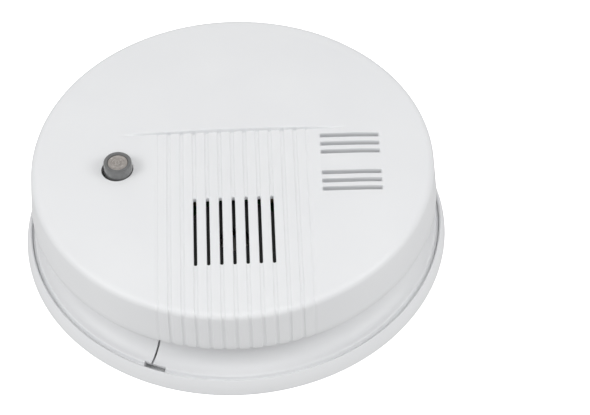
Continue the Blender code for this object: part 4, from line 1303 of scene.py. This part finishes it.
def camera_matrix():
    """Where the camera stands: elevation, a slight roll and turn, and how far the alarm lies off centre."""
    elevation, roll = math.radians(CAMERA_ELEVATION), math.radians(CAMERA_ROLL)
    right = Vector((1, 0, 0))
    up = Vector((0, math.sin(elevation), math.cos(elevation)))
    back = Vector((0, -math.cos(elevation), math.sin(elevation)))
    spin = Matrix.Rotation(math.radians(CAMERA_TURN), 3, "Z")
    right, up, back = spin @ right, spin @ up, spin @ back
    across = right * math.cos(roll) - up * math.sin(roll)
    upward = right * math.sin(roll) + up * math.cos(roll)
    place = (across * CAMERA_ACROSS + upward * CAMERA_UP + back * CAMERA_DISTANCE) * MM
    turn = Matrix((across, upward, back)).transposed()
    return Matrix.Translation(place) @ turn.to_4x4()


def soft_box(azimuth, elevation, power):
    """A round soft light a metre away, aimed at the alarm."""
    across, forward = at_angle(math.cos(math.radians(elevation)), azimuth)
    place = Vector((across, forward, math.sin(math.radians(elevation))))
    data = bpy.data.lights.new(f"soft_box_{azimuth}", "AREA")
    data.shape = "DISK"
    data.size = SOFT_BOX_SIZE
    data.energy = power
    lamp = new_object(data.name, data)
    lamp.location = place
    lamp.rotation_euler = (AIM - place).to_track_quat("-Z", "Y").to_euler()


def pale_floor(depth):
    """A white floor that glows and casts nothing on the alarm."""
    grid = {"x_segments": 1, "y_segments": 1, "size": FLOOR_HALF}
    floor = mesh_object("floor", lambda work: bmesh.ops.create_grid(work, **grid))
    floor.location.z = -depth
    white = linear("#FFFFFF")
    values = {"Roughness": 0.9, "Base Color": white, "Emission Color": white, "Emission Strength": 1.0}
    floor.data.materials.append(new_material("pale_floor", values)[0])
    floor.visible_diffuse = False
    floor.visible_glossy = False
    floor.visible_transmission = False


def soft_sky(scene):
    """An even white sky, slightly brighter below the horizon."""
    scene.world = bpy.data.worlds.new("soft_sky")
    scene.world.use_nodes = True
    tree = scene.world.node_tree
    tree.nodes.clear()
    way = node(tree, "ShaderNodeTexCoord").outputs["Generated"]
    up = node(tree, "ShaderNodeSeparateXYZ", {0: way}).outputs[2]
    ramp = node(tree, "ShaderNodeMapRange", {0: up, 1: -0.3, 2: 0.2, 3: 0.62, 4: 0.57})
    sky = node(tree, "ShaderNodeBackground", {"Color": (1, 1, 1, 1), "Strength": ramp})
    node(tree, "ShaderNodeOutputWorld", {"Surface": sky})


class ALARM_OT_stage(bpy.types.Operator):
    """Sets the pale floor, the soft light and the camera"""

    bl_idname = "alarm.stage"
    bl_label = "Stage"

    def execute(self, context):
        scene = context.scene
        pale_floor(scene.alarm.stage.drop)
        soft_sky(scene)
        for azimuth, elevation, power in SOFT_BOXES:
            soft_box(azimuth, elevation, power)
        data = bpy.data.cameras.new("camera")
        data.sensor_width = SENSOR_WIDTH
        data.lens = CAMERA_LENS
        data.clip_start = 0.01
        scene.camera = new_object("camera", data)
        scene.camera.matrix_world = camera_matrix()
        scene.view_settings.view_transform = "Standard"
        return {"FINISHED"}


# ---------------------------------------------------------------- panel and running order


class ALARM_PT_sidebar(bpy.types.Panel):
    """Lists the makers of the alarm's pieces"""

    bl_idname = "ALARM_PT_sidebar"
    bl_label = "Smoke alarm"
    bl_space_type = "VIEW_3D"
    bl_region_type = "UI"
    bl_category = "Alarm"

    def draw(self, context):
        for operator in OPERATORS:
            self.layout.operator(operator.bl_idname)


OPERATORS = (
    ALARM_OT_inner_pieces,
    ALARM_OT_cover,
    ALARM_OT_housing,
    ALARM_OT_bracket,
    ALARM_OT_button,
    ALARM_OT_door,
    ALARM_OT_tab,
    ALARM_OT_battery,
    ALARM_OT_screws,
    ALARM_OT_electronics,
    ALARM_OT_stage,
)
GROUPS = (CoverSizes, BodySizes, ButtonSizes, StageSettings, AlarmSettings)
CLASSES = (*GROUPS, *OPERATORS, ALARM_PT_sidebar)


def register():
    for item in CLASSES:
        bpy.utils.register_class(item)
    bpy.types.Scene.alarm = PointerProperty(type=AlarmSettings)


def unregister():
    del bpy.types.Scene.alarm
    for item in reversed(CLASSES):
        bpy.utils.unregister_class(item)


def main():
    register()
    for operator in OPERATORS:
        group, name = operator.bl_idname.split(".")
        getattr(getattr(bpy.ops, group), name)()


if __name__ == "__main__":
    main()
